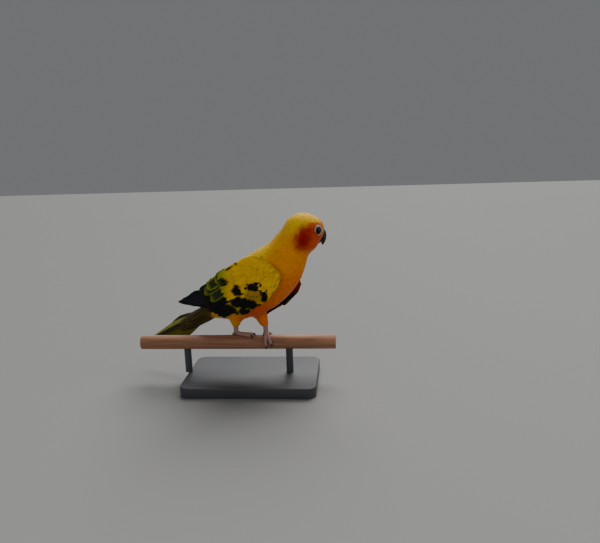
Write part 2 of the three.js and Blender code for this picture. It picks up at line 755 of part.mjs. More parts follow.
function makeBase() {
  const shape = new THREE.Shape();
  const x = baseLength / 2;
  const y = baseDepth / 2;
  const r = 10;
  shape.moveTo(-x + r, -y).lineTo(x - r, -y).absarc(x - r, -y + r, r, -Math.PI / 2, 0);
  shape.lineTo(x, y - r).absarc(x - r, y - r, r, 0, Math.PI / 2);
  shape.lineTo(-x + r, y).absarc(-x + r, y - r, r, Math.PI / 2, Math.PI);
  shape.lineTo(-x, -y + r).absarc(-x + r, -y + r, r, Math.PI, 1.5 * Math.PI);
  const bevel = 1.2;
  const geometry = new THREE.ExtrudeGeometry(shape, {
    depth: baseThickness - bevel,
    bevelEnabled: true,
    bevelThickness: bevel,
    bevelSize: bevel,
    bevelOffset: -bevel,
    bevelSegments: 1,
    curveSegments: 5,
  });
  return geometrySolid(geometry).trimByPlane([0, 0, 1], 0);
}

// The whole

const part = new THREE.Group();
part.name = "sun_conure";
const birdFrame = frameAt([0, 0, perchHeight], turnZ(-bodyYaw));

function place(name, solid, material, frame = birdFrame) {
  const mesh = solid.transform(frame.elements).getMesh();
  const geometry = new THREE.BufferGeometry();
  geometry.setAttribute("position", new THREE.BufferAttribute(new Float32Array(mesh.vertProperties), 3));
  geometry.setIndex(new THREE.BufferAttribute(new Uint32Array(mesh.triVerts), 1));
  geometry.computeVertexNormals();
  const node = new THREE.Mesh(geometry, material);
  node.name = name;
  part.add(node);
}

const surface = (color, roughness, metalness = 0) =>
  new THREE.MeshStandardMaterial({ color, roughness, metalness });
const yellowCoat = surface("#f0b51c", 0.75);
const orangeCoat = surface("#ea8a1e", 0.75);
const wingCoat = surface("#8f9a1c", 0.7);
const tailCoat = surface("#6b6d24", 0.7);
const billHorn = surface("#25211f", 0.35);
const eyeGlass = surface("#140f0d", 0.08);
const footSkin = surface("#8f7468", 0.6);
const wood = surface("#c79d7c", 0.7);
const paint = surface("#3c3f42", 0.45, 0.2);
const here = new THREE.Matrix4();

place("head", head, orangeCoat);
place("neck", neck, yellowCoat);
place("torso", torso, orangeCoat);
place("tail", tail, tailCoat);
place("bill_upper", billUpper, billHorn);
place("bill_lower", billLower, billHorn);
for (const side of ["left", "right"]) {
  place(`eye_${side}`, eyes[side].ball, eyeGlass);
  place(`wing_${side}`, wings[side], wingCoat);
  place(`thigh_${side}`, thighs[side], yellowCoat);
  place(`foot_${side}`, feet[side], footSkin);
}
place("perch", perch, wood, here);
place("stand_base", makeBase(), paint, here);
place("stand_rod_front", makeRod(1), paint, here);
place("stand_rod_rear", makeRod(-1), paint, here);

export default part;
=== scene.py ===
# %% [markdown]
# A sun conure stands side-on along a cut dowel perch, which a plain display stand holds.
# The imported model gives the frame: the size of every part and its place. This script dresses
# that frame with skin, feathers, bill, eyes, feet and wood, and adds a camera, a floor and lights.

# %% Load the frame
import math
import bmesh
import bpy
import numpy as np
from mathutils import Matrix, Vector


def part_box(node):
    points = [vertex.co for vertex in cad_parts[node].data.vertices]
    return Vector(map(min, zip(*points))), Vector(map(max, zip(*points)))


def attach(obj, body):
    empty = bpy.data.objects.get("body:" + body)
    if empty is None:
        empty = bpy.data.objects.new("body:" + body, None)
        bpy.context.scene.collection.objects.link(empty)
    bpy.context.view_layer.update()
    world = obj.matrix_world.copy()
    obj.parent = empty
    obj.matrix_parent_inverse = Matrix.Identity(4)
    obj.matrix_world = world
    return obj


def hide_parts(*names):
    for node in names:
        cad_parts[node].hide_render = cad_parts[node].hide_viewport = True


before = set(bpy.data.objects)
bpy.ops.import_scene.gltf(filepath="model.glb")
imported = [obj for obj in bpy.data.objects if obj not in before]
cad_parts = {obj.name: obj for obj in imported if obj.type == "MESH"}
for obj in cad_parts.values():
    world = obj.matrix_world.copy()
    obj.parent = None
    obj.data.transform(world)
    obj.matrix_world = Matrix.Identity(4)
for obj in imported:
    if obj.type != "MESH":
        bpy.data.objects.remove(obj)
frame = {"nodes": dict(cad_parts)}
bpy.context.view_layer.update()
nodes = frame["nodes"]
MM = 0.001

# %% [markdown]
# The camera stands about two thirds of a metre from the bird, a little above it and looking
# down at it, as a person with a phone would. A 34 mm lens on a 36 mm film gives the photograph's
# field of view. Yaw, pitch and roll turn it the way that the perch and the uprights were seen.

# %% Camera
CAMERA_PLACE = (111.5 * MM, -610.2 * MM, 265.1 * MM)
CAMERA_YAW = math.radians(5)
CAMERA_PITCH = math.radians(-12.5)
CAMERA_ROLL = math.radians(-1.9)
LENS = 34.2
FILM = 36
NEAREST_SEEN = 0.02


def linked(name, data):
    made = bpy.data.objects.new(name, data)
    bpy.context.scene.collection.objects.link(made)
    return made


def make_camera():
    data = bpy.data.cameras.new("camera")
    data.lens = LENS
    data.sensor_width = FILM
    data.clip_start = NEAREST_SEEN
    camera = linked("camera", data)
    turn = Matrix.Rotation(CAMERA_YAW, 4, "Z") @ Matrix.Rotation(math.pi / 2 + CAMERA_PITCH, 4, "X")
    aimed_at = Matrix.Translation(CAMERA_PLACE) @ turn
    camera.matrix_world = aimed_at @ Matrix.Rotation(CAMERA_ROLL, 4, "Z")
    bpy.context.scene.camera = camera


make_camera()
print("camera at", CAMERA_PLACE)

# %% [markdown]
# The bird has a frame of its own, in millimetres: x forward, y to its left, z up, from the perch's
# axis between its feet. It is turned a little to the near side of the perch. The head has its own
# frame again, turned back to the left. Points are arrays, so a whole mesh is placed in one call.

# %% Frames of the bird and its head
perch_low, perch_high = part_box("perch")
PERCH_HEIGHT = (perch_low.z + perch_high.z) / 2 / MM
PERCH_RADIUS = (perch_high.z - perch_low.z) / 2 / MM
BODY_YAW = 18
HEAD_YAW = 49
HEAD_PITCH = 4
HEAD_CENTRE = (70, 0, 129)


def turned(axis, degrees):
    return np.array(Matrix.Rotation(math.radians(degrees), 3, axis))


HEAD_TURN = turned("Z", HEAD_YAW) @ turned("Y", HEAD_PITCH)
BIRD_TURN = turned("Z", -BODY_YAW)


def from_head(points):
    return np.asarray(points, float) @ HEAD_TURN.T + HEAD_CENTRE


def in_head(points):
    return (np.asarray(points, float) - HEAD_CENTRE) @ HEAD_TURN


def to_world(points):
    return (np.asarray(points, float) @ BIRD_TURN.T + (0, 0, PERCH_HEIGHT)) * MM


def to_bird(points):
    return (np.asarray(points, float) / MM - (0, 0, PERCH_HEIGHT)) @ BIRD_TURN


def mirrored(points):
    return points * (1, 0, 1) + np.abs(points) * (0, 1, 0)


def unit(vectors):
    return vectors / (np.linalg.norm(vectors, axis=-1, keepdims=True) + 1e-9)


print("perch radius", round(PERCH_RADIUS, 2), "at height", round(PERCH_HEIGHT, 2))

# %% [markdown]
# The shape under the feathers is told by distances: each form says how far a point is outside it,
# and soft unions melt the forms together without a seam. The same sizes shaped the solids, so the
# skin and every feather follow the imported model, from any side.

# %% Body forms as distances
HEAD_LUMPS = [
    ((-6, 0, 3.6), (16, 13, 14.8)), ((9.3, 0, 1.6), (12, 10.5, 11.5)), ((0.5, 6, -6), (10.5, 8.8, 10.5)),
    ((0.5, -6, -6), (10.5, 8.8, 10.5)), ((2.5, 0, -9.5), (9, 8, 7.5)),
]
FOOT_AT = {"left": 17, "right": -17}
HIP = {"left": (3, 8.5, 46), "right": (-13, -8.5, 46)}
ANKLE_HEIGHT = PERCH_RADIUS + 12


def soft_min(a, b, reach):
    near = np.maximum(reach - np.abs(a - b), 0) / reach
    return np.minimum(a, b) - near * near * reach / 4


def ellipsoid(points, centre, radii, turn=np.eye(3)):
    q = (points - centre) @ turn
    k0 = np.linalg.norm(q / radii, axis=1)
    k1 = np.linalg.norm(q / np.square(radii), axis=1)
    return k0 * (k0 - 1) / np.maximum(k1, 1e-9)


def capsule(points, start, end, radius_start, radius_end):
    start = np.asarray(start, float)
    along = np.asarray(end, float) - start
    t = np.clip((points - start) @ along / (along @ along), 0, 1)
    radius = radius_start + (radius_end - radius_start) * t
    return np.linalg.norm(points - start - t[:, None] * along, axis=1) - radius


def head_form(points):
    q = in_head(points)
    form = ellipsoid(q, (0, 0, 2), (19.5, 15.5, 17))
    for centre, radii in HEAD_LUMPS:
        form = soft_min(form, ellipsoid(q, centre, radii), 6)
    return form


def trunk_form(points):
    form = ellipsoid(points, (21.9, 0, 71.5), (55, 26.8, 28.3), turned("Y", -40))
    form = soft_min(form, capsule(points, (22, 0, 90), (-50, 0, 45), 18, 9), 10)
    form = soft_min(form, capsule(points, (-18, 0, 52), (-62, 0, 29.5), 18, 9.5), 10)
    form = soft_min(form, ellipsoid(points, (-24, 0, 37.5), (25, 13, 12)), 10)
    return soft_min(form, capsule(points, (37.5, 0, 93), (63, 0, 121.5), 24, 18), 10)


def on_perch(x, y, z):
    return np.array((x, y, z), float) @ BIRD_TURN


def thigh_form(points, side):
    ankle = on_perch(FOOT_AT[side], 0, ANKLE_HEIGHT - 2)
    return capsule(points, HIP[side], ankle, 11.5, 4.2)


def body_form(points):
    return soft_min(trunk_form(points), head_form(points), 10)


def slope_of(form, points, reach=0.05):
    here = form(points)
    slopes = [(form(points + reach * axis) - here) / reach for axis in np.eye(3)]
    return here, np.stack(slopes, axis=1)


def pushed_onto(form, points, passes=6, longest=0.8):
    for _ in range(passes):
        here, slope = slope_of(form, points)
        steep = np.maximum((slope * slope).sum(1), 0.2)
        step = np.clip(-here / steep, -longest, longest)
        points = points + slope * step[:, None]
    return points, unit(slope_of(form, points)[1])


check = np.abs(body_form(to_bird(np.array([v.co for v in nodes["torso"].data.vertices]))))
print("half of the torso's points are within", round(float(np.median(check)), 2), "mm of the form")

# %% [markdown]
# A mesh's points, faces and attributes are handed over in a few calls. An attribute is a value kept
# with each point of a mesh, such as its tint, or the way that feathers lie there. Tubes, cones and
# turned forms are all stacks of rings, so one function closes them: sides first, then both ends.
# A melted piece is one skin round all its parts, which a voxel remesh makes.

# %% Mesh helpers
KIND_OF_WIDTH = {1: ("FLOAT", "value"), 3: ("FLOAT_VECTOR", "vector"), 4: ("FLOAT_COLOR", "color")}


def put_attributes(mesh, **kept):
    for name, values in kept.items():
        values = np.ravel(values).astype(np.float32)
        kind, field = KIND_OF_WIDTH[len(values) // len(mesh.vertices)]
        mesh.attributes.new(name, kind, "POINT").data.foreach_set(field, values)


def put_points(mesh, points):
    mesh.vertices.foreach_set("co", points.astype(np.float32).ravel())
    mesh.update()


def points_of(mesh):
    points = np.empty(len(mesh.vertices) * 3, np.float32)
    mesh.vertices.foreach_get("co", points)
    return points.reshape(-1, 3).astype(float)


def mesh_object(name, points, faces, closed=True):
    mesh = bpy.data.meshes.new(name)
    mesh.from_pydata(np.asarray(points, float).tolist(), [], faces)
    mesh.validate()
    mesh.shade_smooth()
    if closed:
        solid = bmesh.new()
        solid.from_mesh(mesh)
        bmesh.ops.recalc_face_normals(solid, faces=solid.faces)
        solid.to_mesh(mesh)
        solid.free()
    return linked(name, mesh)


def closed_rings(name, tubes, material=None):
    points = []
    faces = []
    for rings in tubes:
        start = len(points)
        rows, columns, _ = rings.shape
        index = start + np.arange(rows * columns).reshape(rows, columns)
        beside = np.roll(index, -1, axis=1)
        faces += np.stack([index[:-1], beside[:-1], beside[1:], index[1:]], -1).reshape(-1, 4).tolist()
        faces += [index[0, ::-1].tolist(), index[-1].tolist()]
        points += rings.reshape(-1, 3).tolist()
    piece = mesh_object(name, points, faces)
    if material:
        piece.data.materials.append(material)
    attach(piece, "root")
    return piece


def evaluated_mesh(piece):
    graph = bpy.context.evaluated_depsgraph_get()
    return bpy.data.meshes.new_from_object(piece.evaluated_get(graph))


def melt(piece, voxel, relaxing=0):
    remesh = piece.modifiers.new("melt", "REMESH")
    remesh.mode = "VOXEL"
    remesh.voxel_size = voxel * MM
    if relaxing:
        relax = piece.modifiers.new("relax", "SMOOTH")
        relax.factor = 0.5
        relax.iterations = relaxing
    piece.data = evaluated_mesh(piece)
    piece.modifiers.clear()
    piece.data.shade_smooth()


def say_size(piece):
    triangles = sum(len(face.vertices) - 2 for face in piece.data.polygons)
    print(piece.name, triangles, "triangles")


print("mesh helpers ready")

# %% [markdown]
# Colours are mixed as linear light. A ramp goes softly from 0 to 1, a blob is a soft area round a
# place, and a ripple is a sum of a few random waves that keeps the areas' edges from being even.

# %% Colour helpers


def with_alpha(colours):
    return np.concatenate([colours, np.ones((len(colours), 1))], axis=1)


def linear(red, green, blue):
    share = np.array((red, green, blue), float) / 255
    return np.where(share <= 0.04045, share / 12.92, ((share + 0.055) / 1.055) ** 2.4)


def ramp(values, low, high):
    t = np.clip((values - low) / (high - low), 0, 1)
    return t * t * (3 - 2 * t)


def mixed(first, second, share):
    return first + (second - first) * np.asarray(share)[..., None]


def layered(tint, *layers):
    for colour, share in layers:
        tint = mixed(tint, colour, share)
    return tint


def blob(points, centre, radii, soft=0.5):
    far = np.linalg.norm((points - np.asarray(centre, float)) / np.asarray(radii, float), axis=-1)
    return 1 - ramp(far, 1 - soft, 1 + soft)


def ripple(points, size, seed):
    rng = np.random.default_rng(seed)
    total = np.zeros(points.shape[0])
    for _ in range(7):
        way = rng.normal(size=points.shape[1])
        way *= rng.uniform(0.6, 1.5) * 2 * math.pi / size / np.linalg.norm(way)
        total += np.sin(points @ way + rng.uniform(0, 2 * math.pi))
    return total / 4


print("colour helpers ready")

# %% [markdown]
# A sun conure is yellow on the crown, nape and back, and deepens to orange on the face, breast and
# belly, with a red patch over each ear. One function gives that colour for any place on the body,
# as soft areas laid over each other, so the skin and every feather rooted in it agree.

# %% Body plumage colours
GOLD = linear(251, 158, 2)
CROWN = linear(255, 204, 24)
BREAST = linear(244, 126, 2)
BELLY = linear(236, 90, 4)
FLANK = linear(250, 92, 14)
EAR = linear(168, 12, 6)
FACE = linear(216, 60, 8)
FOREHEAD = linear(224, 84, 4)
CHIN = linear(226, 84, 4)
MANTLE = linear(254, 208, 4)
VENT = linear(232, 166, 10)
RUMP = linear(74, 62, 14)
CHEST_PLACE = (19.5, 0, 71.5)
CHEST_WAY = (0.64, 0, -0.77)


def chest_side(points):
    return (points * (1, 0, 1) - CHEST_PLACE) @ CHEST_WAY


def body_colours(points):
    wave = ripple(points, 13, 3)
    blur = np.stack([ripple(points, 5, seed) for seed in (11, 12, 13)], axis=1)
    q = in_head(points) + 1.3 * blur
    x, _, z = points.T
    below = chest_side(points) + 2 * wave
    head = ramp(q[:, 2] + 0.25 * q[:, 0] + wave, -24, -12)
    crown = ramp(q[:, 2] + 0.2 * np.abs(q[:, 0] - 2) + wave, 2, 12)
    tint = layered(
        np.tile(GOLD, (len(points), 1)),
        (MANTLE, (1 - ramp(below, -20, -4)) * (1 - 0.6 * ramp(x, 28, 50))),
        (BREAST, ramp(below, 2, 22)),
        (BELLY, 0.7 * blob(points * (1, 0, 1), (24, 0, 48), (22, 1, 11))),
        (FLANK, 0.85 * blob(mirrored(points), (20, 19, 47), (15, 9, 10))),
        (VENT, ramp(-x + 0.4 * (40 - z), 2, 24)),
        (RUMP, ramp(-x + 0.5 * (z - 27), 34, 42) * (1 - ramp(z, 46, 60))),
        (CROWN, head * crown),
    )
    for side in (1, -1):
        tint = layered(
            tint,
            (FACE, 0.85 * blob(q, (1, side * 13, -5), (15.5, 11, 14), 0.4)),
            (FACE, 0.8 * blob(q, (6, side * 13, 5), (10, 8, 5.5), 0.35)),
            (EAR, blob(q, (-5, side * 14, -4.5), (7, 9, 12.5), 0.6)),
        )
    forehead = 0.75 * blob(q, (17, 0, 6), (6, 10, 5), 0.45)
    chin = 0.7 * blob(q, (9, 0, -15), (8, 8, 5), 0.5)
    return layered(tint, (FOREHEAD, forehead), (CHIN, chin))


print("body colours ready")

# %% [markdown]
# Feathers lie away from the bill, down the neck and back towards the tail, and down each leg. They
# are smallest on the face and longest on the back and belly. The way is blended from a few plain
# directions and then laid into the surface.

# %% Lie and length of the body feathers
NECK_BASE = np.array((44, 0, 98))
NECK_WAY = np.array((0.5, 0, 0.866))
BILL_ROOT = np.array((15, 0, -3))
LID_CENTRE = np.array((8.4, 13.9, 2.2))
DOWN_NECK = unit(np.array((-0.62, 0, -0.78)))
TO_TAIL = unit(np.array((-0.88, 0, -0.47)))
BACK_OF_HEAD = unit(np.array((-1, 0, -0.45)))
DOWN_LEG = np.array((-0.15, 0, -1))


def up_neck(points):
    return (points - NECK_BASE) @ NECK_WAY


def from_lid(q):
    return np.linalg.norm(mirrored(q) - LID_CENTRE, axis=1)


def thigh_share(points):
    nearest = np.minimum(thigh_form(points, "left"), thigh_form(points, "right"))
    return (1 - ramp(nearest, 0.5, 4)) * (1 - ramp(points[:, 2], 32, 42))


def lie_of(points, normals):
    from_bill = in_head(points) - BILL_ROOT
    near_bill = 1 - ramp(np.linalg.norm(from_bill, axis=1), 10, 24)[:, None]
    way = (unit(from_bill) * near_bill + BACK_OF_HEAD * (1 - near_bill)) @ HEAD_TURN.T
    height = up_neck(points)[:, None]
    on_head = ramp(height, 14, 30)
    on_neck = ramp(height, -22, 8)
    way = way * on_head + (DOWN_NECK * on_neck + TO_TAIL * (1 - on_neck)) * (1 - on_head)
    leg = thigh_share(points)[:, None]
    way = way * (1 - leg) + DOWN_LEG * leg
    return unit(way - normals * (way * normals).sum(1, keepdims=True))


def feather_length(points):
    q = in_head(points)
    length = 2.4 + 2.9 * ramp(np.linalg.norm(q - BILL_ROOT, axis=1), 5, 26)
    length = length + (8.5 - length) * (1 - ramp(up_neck(points), -2, 30))
    length = length + (12.5 - length) * (1 - ramp(up_neck(points), -30, 0))
    length = length * (0.62 + 0.38 * ramp(from_lid(q), 5, 12))
    return length + (7.5 - length) * thigh_share(points)


print("lie and length ready")

# %% [markdown]
# The skin is one closed form without a seam: copies of the head, neck, torso and thighs are melted
# together, and every point is then pushed to the depth of the coat under the solids' surface. Only
# the fluff of the mantle and the nape rises past it. The skin's unwrap, OFBake, is the map on which
# each feather later keeps its own patch. Zones part the coat into five pieces.

# %% Skin
SKIN_VOXEL = 1.15
HEAD_COAT = 0.7
BODY_COAT = 1.35
THIGH_COAT = 0.9
FLUFF = [((8, 0, 86), (28, 16, 15), -32), ((50, 2, 117), (13, 12, 18), 30)]
TAIL_ROOT = np.array((-58, 0, 28.5))
TAIL_SLOPE = 27.5
TAIL_DOWN = math.radians(TAIL_SLOPE)
TAIL_ALONG = np.array((-math.cos(TAIL_DOWN), 0, -math.sin(TAIL_DOWN)))
NO_ZONE = -1
FACE_ZONE, NECK_ZONE, BREAST_ZONE, BACK_ZONE, THIGH_ZONE = range(5)


def skin_form(points):
    form = body_form(points)
    for side in ("left", "right"):
        form = soft_min(form, thigh_form(points, side), 5)
    for centre, radii, tilt in FLUFF:
        form = soft_min(form, ellipsoid(points, centre, radii, turned("Y", tilt)), 8)
    depth = BODY_COAT + (HEAD_COAT - BODY_COAT) * ramp(up_neck(points), 0, 30)
    form = form + (depth + (THIGH_COAT - depth) * thigh_share(points))
    form = -soft_min(-form, -((points - TAIL_ROOT) @ TAIL_ALONG + 0.6), 3)
    return -soft_min(-form, points[:, 2] - ANKLE_HEIGHT + 0.4, 2)


def is_bare(points):
    q = in_head(points)
    bill = (q[:, 0] > 11) & (np.abs(q[:, 1]) < 6.4) & (q[:, 2] > -13.5) & (q[:, 2] < 5.4)
    return bill | (from_lid(q) < 5.3) | (points[:, 2] < ANKLE_HEIGHT)


def zone_of(points):
    zone = np.where(chest_side(points) > -2, BREAST_ZONE, BACK_ZONE)
    zone = np.where(up_neck(points) > -4, NECK_ZONE, zone)
    on_face = (up_neck(points) > 17) & (in_head(points)[:, 2] > -22)
    zone = np.where(on_face, FACE_ZONE, zone)
    zone = np.where(thigh_share(points) > 0.4, THIGH_ZONE, zone)
    return np.where(is_bare(points), NO_ZONE, zone)


def joined_copy(name, node_names):
    joined = bmesh.new()
    for node_name in node_names:
        joined.from_mesh(nodes[node_name].data)
    bmesh.ops.remove_doubles(joined, verts=joined.verts, dist=0.01 * MM)
    mesh = bpy.data.meshes.new(name)
    joined.to_mesh(mesh)
    joined.free()
    return linked(name, mesh)


def unwrap(piece):
    bpy.context.view_layer.objects.active = piece
    piece.select_set(True)
    bpy.ops.object.mode_set(mode="EDIT")
    bpy.ops.mesh.select_all(action="SELECT")
    bpy.ops.uv.smart_project(angle_limit=math.radians(70), island_margin=0.004)
    bpy.ops.object.mode_set(mode="OBJECT")
    piece.select_set(False)
    piece.data.uv_layers.active.name = "OFBake"


def make_skin():
    piece = joined_copy("skin", ["head", "neck", "torso", "thigh_left", "thigh_right"])
    melt(piece, SKIN_VOXEL)
    mesh = piece.data
    points, normals = pushed_onto(skin_form, to_bird(points_of(mesh)))
    put_points(mesh, to_world(points))
    unwrap(piece)
    put_attributes(
        mesh, tint=with_alpha(body_colours(points)), lie=lie_of(points, normals) @ BIRD_TURN.T,
        length=feather_length(points) * MM, way_out=normals @ BIRD_TURN.T, zone=zone_of(points),
    )
    return piece


skin = make_skin()
say_size(skin)

# %% [markdown]
# A node tree is grown by a small class. A node's inputs are given in order, by number or by name:
# words with a capital are inputs, the others are settings. Each call gives the node's output, and
# plain sums with outputs add the Math nodes that work them out.

# %% Node helpers


class Output:
    def __init__(self, nodes, node, name=0):
        self.nodes = nodes
        self.node = node
        self.socket = node.outputs[name]

    def __getitem__(self, name):
        return Output(self.nodes, self.node, name)

    def __add__(self, other):
        return self.nodes.maths("ADD", self, other)

    def __sub__(self, other):
        return self.nodes.maths("SUBTRACT", self, other)

    def __mul__(self, other):
        return self.nodes.maths("MULTIPLY", self, other)


class Nodes:
    def __init__(self, tree):
        self.tree = tree

    def fill(self, node, inputs):
        for key, value in inputs:
            if isinstance(value, Output):
                self.tree.links.new(value.socket, node.inputs[key])
            elif isinstance(value, np.ndarray):
                node.inputs[key].default_value = (*value, 1)
            else:
                node.inputs[key].default_value = value

    def add(self, kind, *ordered, numbered=None, **words):
        node = self.tree.nodes.new(kind)
        for key, value in words.items():
            if key[0].islower():
                setattr(node, key, value)
        self.fill(node, enumerate(ordered))
        self.fill(node, (numbered or {}).items())
        self.fill(node, [(key.replace("_", " "), words[key]) for key in words if key[0].isupper()])
        return Output(self, node)

    def maths(self, operation, *values):
        return self.add("ShaderNodeMath", *values, operation=operation)

    def vectors(self, operation, *values, **words):
        return self.add("ShaderNodeVectorMath", *values, operation=operation, **words)

    def vector(self, *values):
        return self.add("ShaderNodeCombineXYZ", *values)

    def mix(self, first, second, share, way="MIX"):
        inputs = {0: share, 6: first, 7: second}
        return self.add("ShaderNodeMix", numbered=inputs, data_type="RGBA", blend_type=way)[2]

    def kept(self, name, output="Fac"):
        return self.add("ShaderNodeAttribute", attribute_name=name)[output]

    def place(self):
        return self.add("ShaderNodeTexCoord")["Object"]

    def noise(self, place, size, detail=2.0, distortion=0.0):
        words = {"Vector": place, "Scale": size, "Detail": detail, "Distortion": distortion}
        return self.add("ShaderNodeTexNoise", **words)

    def cells(self, place, size):
        return self.add("ShaderNodeTexVoronoi", Vector=place, Scale=size)


print("node helpers ready")

# %% [markdown]
# Two kinds of tree are grown so. A group has named inputs and outputs of its own, for effects that
# several trees share. A finish is a material: its colour, its roughness and a height for its bumps.

# %% Groups and finishes
FINISH_OUTPUTS = {"Color": "Color", "Roughness": "Float", "Height": "Float"}


class Group(Nodes):
    def __init__(self, name, kind, inputs, outputs):
        super().__init__(bpy.data.node_groups.new(name, kind))
        for in_out, sockets in (("INPUT", inputs), ("OUTPUT", outputs)):
            for socket, socket_kind in sockets.items():
                kind_name = "NodeSocket" + socket_kind
                self.tree.interface.new_socket(socket, in_out=in_out, socket_type=kind_name)
        self.given = Output(self, self.tree.nodes.new("NodeGroupInput"))

    def give(self, **results):
        self.fill(self.tree.nodes.new("NodeGroupOutput"), results.items())
        return self.tree


class Finish(Nodes):
    def __init__(self, name, **fixed):
        self.material = bpy.data.materials.new(name)
        self.material.use_nodes = True
        super().__init__(self.material.node_tree)
        self.shader = self.tree.nodes["Principled BSDF"]
        self.fill(self.shader, [(key.replace("_", " "), value) for key, value in fixed.items()])

    def surface(self, colour, roughness, height=None, strength=0, depth=0):
        inputs = {"Base Color": colour, "Roughness": roughness}
        if height:
            bump = {"Height": height, "Strength": strength, "Distance": depth * MM}
            inputs["Normal"] = self.add("ShaderNodeBump", **bump)
        self.fill(self.shader, inputs.items())
        return self.material


print("a finish's outputs:", list(FINISH_OUTPUTS))

# %% [markdown]
# A body feather is a vane of barbs on both sides of a shaft, and the barbs part into small groups
# at the edge. Each group here is a strip of two faces that narrows outwards, so the edge is ragged
# as on the real feather. A few variants with other notches keep the coat from repeating itself.

# %% Small body feathers
BARB_SLANT = 0.2
SHAFT_TIP = ((0.84, 0), (0.97, -0.13), (1.03, 0), (0.97, 0.13))


def vane_outline(t):
    oval = np.sqrt(np.clip(1 - (2 * np.clip(t, 0, 1) - 0.85) ** 2 / 1.35, 0, 1))
    return 0.5 * oval * (1 - 0.25 * t**4)


def body_feather(name, groups, split, seed):
    rng = np.random.default_rng(seed)
    roots = np.linspace(0, 0.94, groups + 1)
    points = []
    vane = []
    faces = []
    for side in (1, -1):
        for root, nxt in zip(roots[:-1], roots[1:]):
            start = len(points)
            reach = rng.uniform(0.9, 1.04)
            for share, narrow in ((0, 0), (0.6, 0.15 * split), (1, split)):
                for edge, way in ((root, 1), (nxt, -1)):
                    edge = edge + way * narrow * (nxt - root) * 0.5
                    slant = BARB_SLANT * (1 - 0.75 * edge)
                    width = vane_outline(edge + slant) * share * reach
                    points.append((edge + slant * share, side * width, 0))
                    vane.append((edge + slant * share, side * share, 0))
            for a in (start, start + 2):
                face = (a, a + 1, a + 3, a + 2)
                faces.append(face if side < 0 else face[::-1])
    faces.append([len(points) + i for i in range(4)])
    points += [(t, y, 0) for t, y in SHAFT_TIP]
    vane += [(t, 2 * y, 0) for t, y in SHAFT_TIP]
    piece = mesh_object(name, points, faces, closed=False)
    put_attributes(piece.data, vane=vane)
    bpy.context.scene.collection.objects.unlink(piece)
    return piece


def feather_set(name, groups, split, count):
    collection = bpy.data.collections.new(name)
    for i in range(count):
        collection.objects.link(body_feather(f"{name}_{i}", groups, split, 20 + i))
    return collection


tiny_feathers = feather_set("tiny_feather", 4, 0.16, 4)
soft_feathers = feather_set("soft_feather", 7, 0.3, 5)

# %% [markdown]
# The coat is a Geometry Nodes tree. It scatters roots over one zone of the skin, sets a feather on
# each, turned along the lie, makes the instances real, and then lays every point of every feather
# over the skin at its own height, so that feathers bend round the body and the tips ride on the
# roots behind them. Each feather keeps a patch of the OFBake map round its root's place.

# %% Tree of the feather coat
PATCH = 0.003
CROWDING = 2.2
SWING = 0.16
CAMBER = 0.022
VECTOR = "FLOAT_VECTOR"
COAT_INPUTS = {
    "Skin": "Geometry", "Feathers": "Collection", "Zone": "Float", "Spacing": "Float",
    "Slimness": "Float", "Lift": "Float", "Seed": "Int", "Finish": "Material",
}


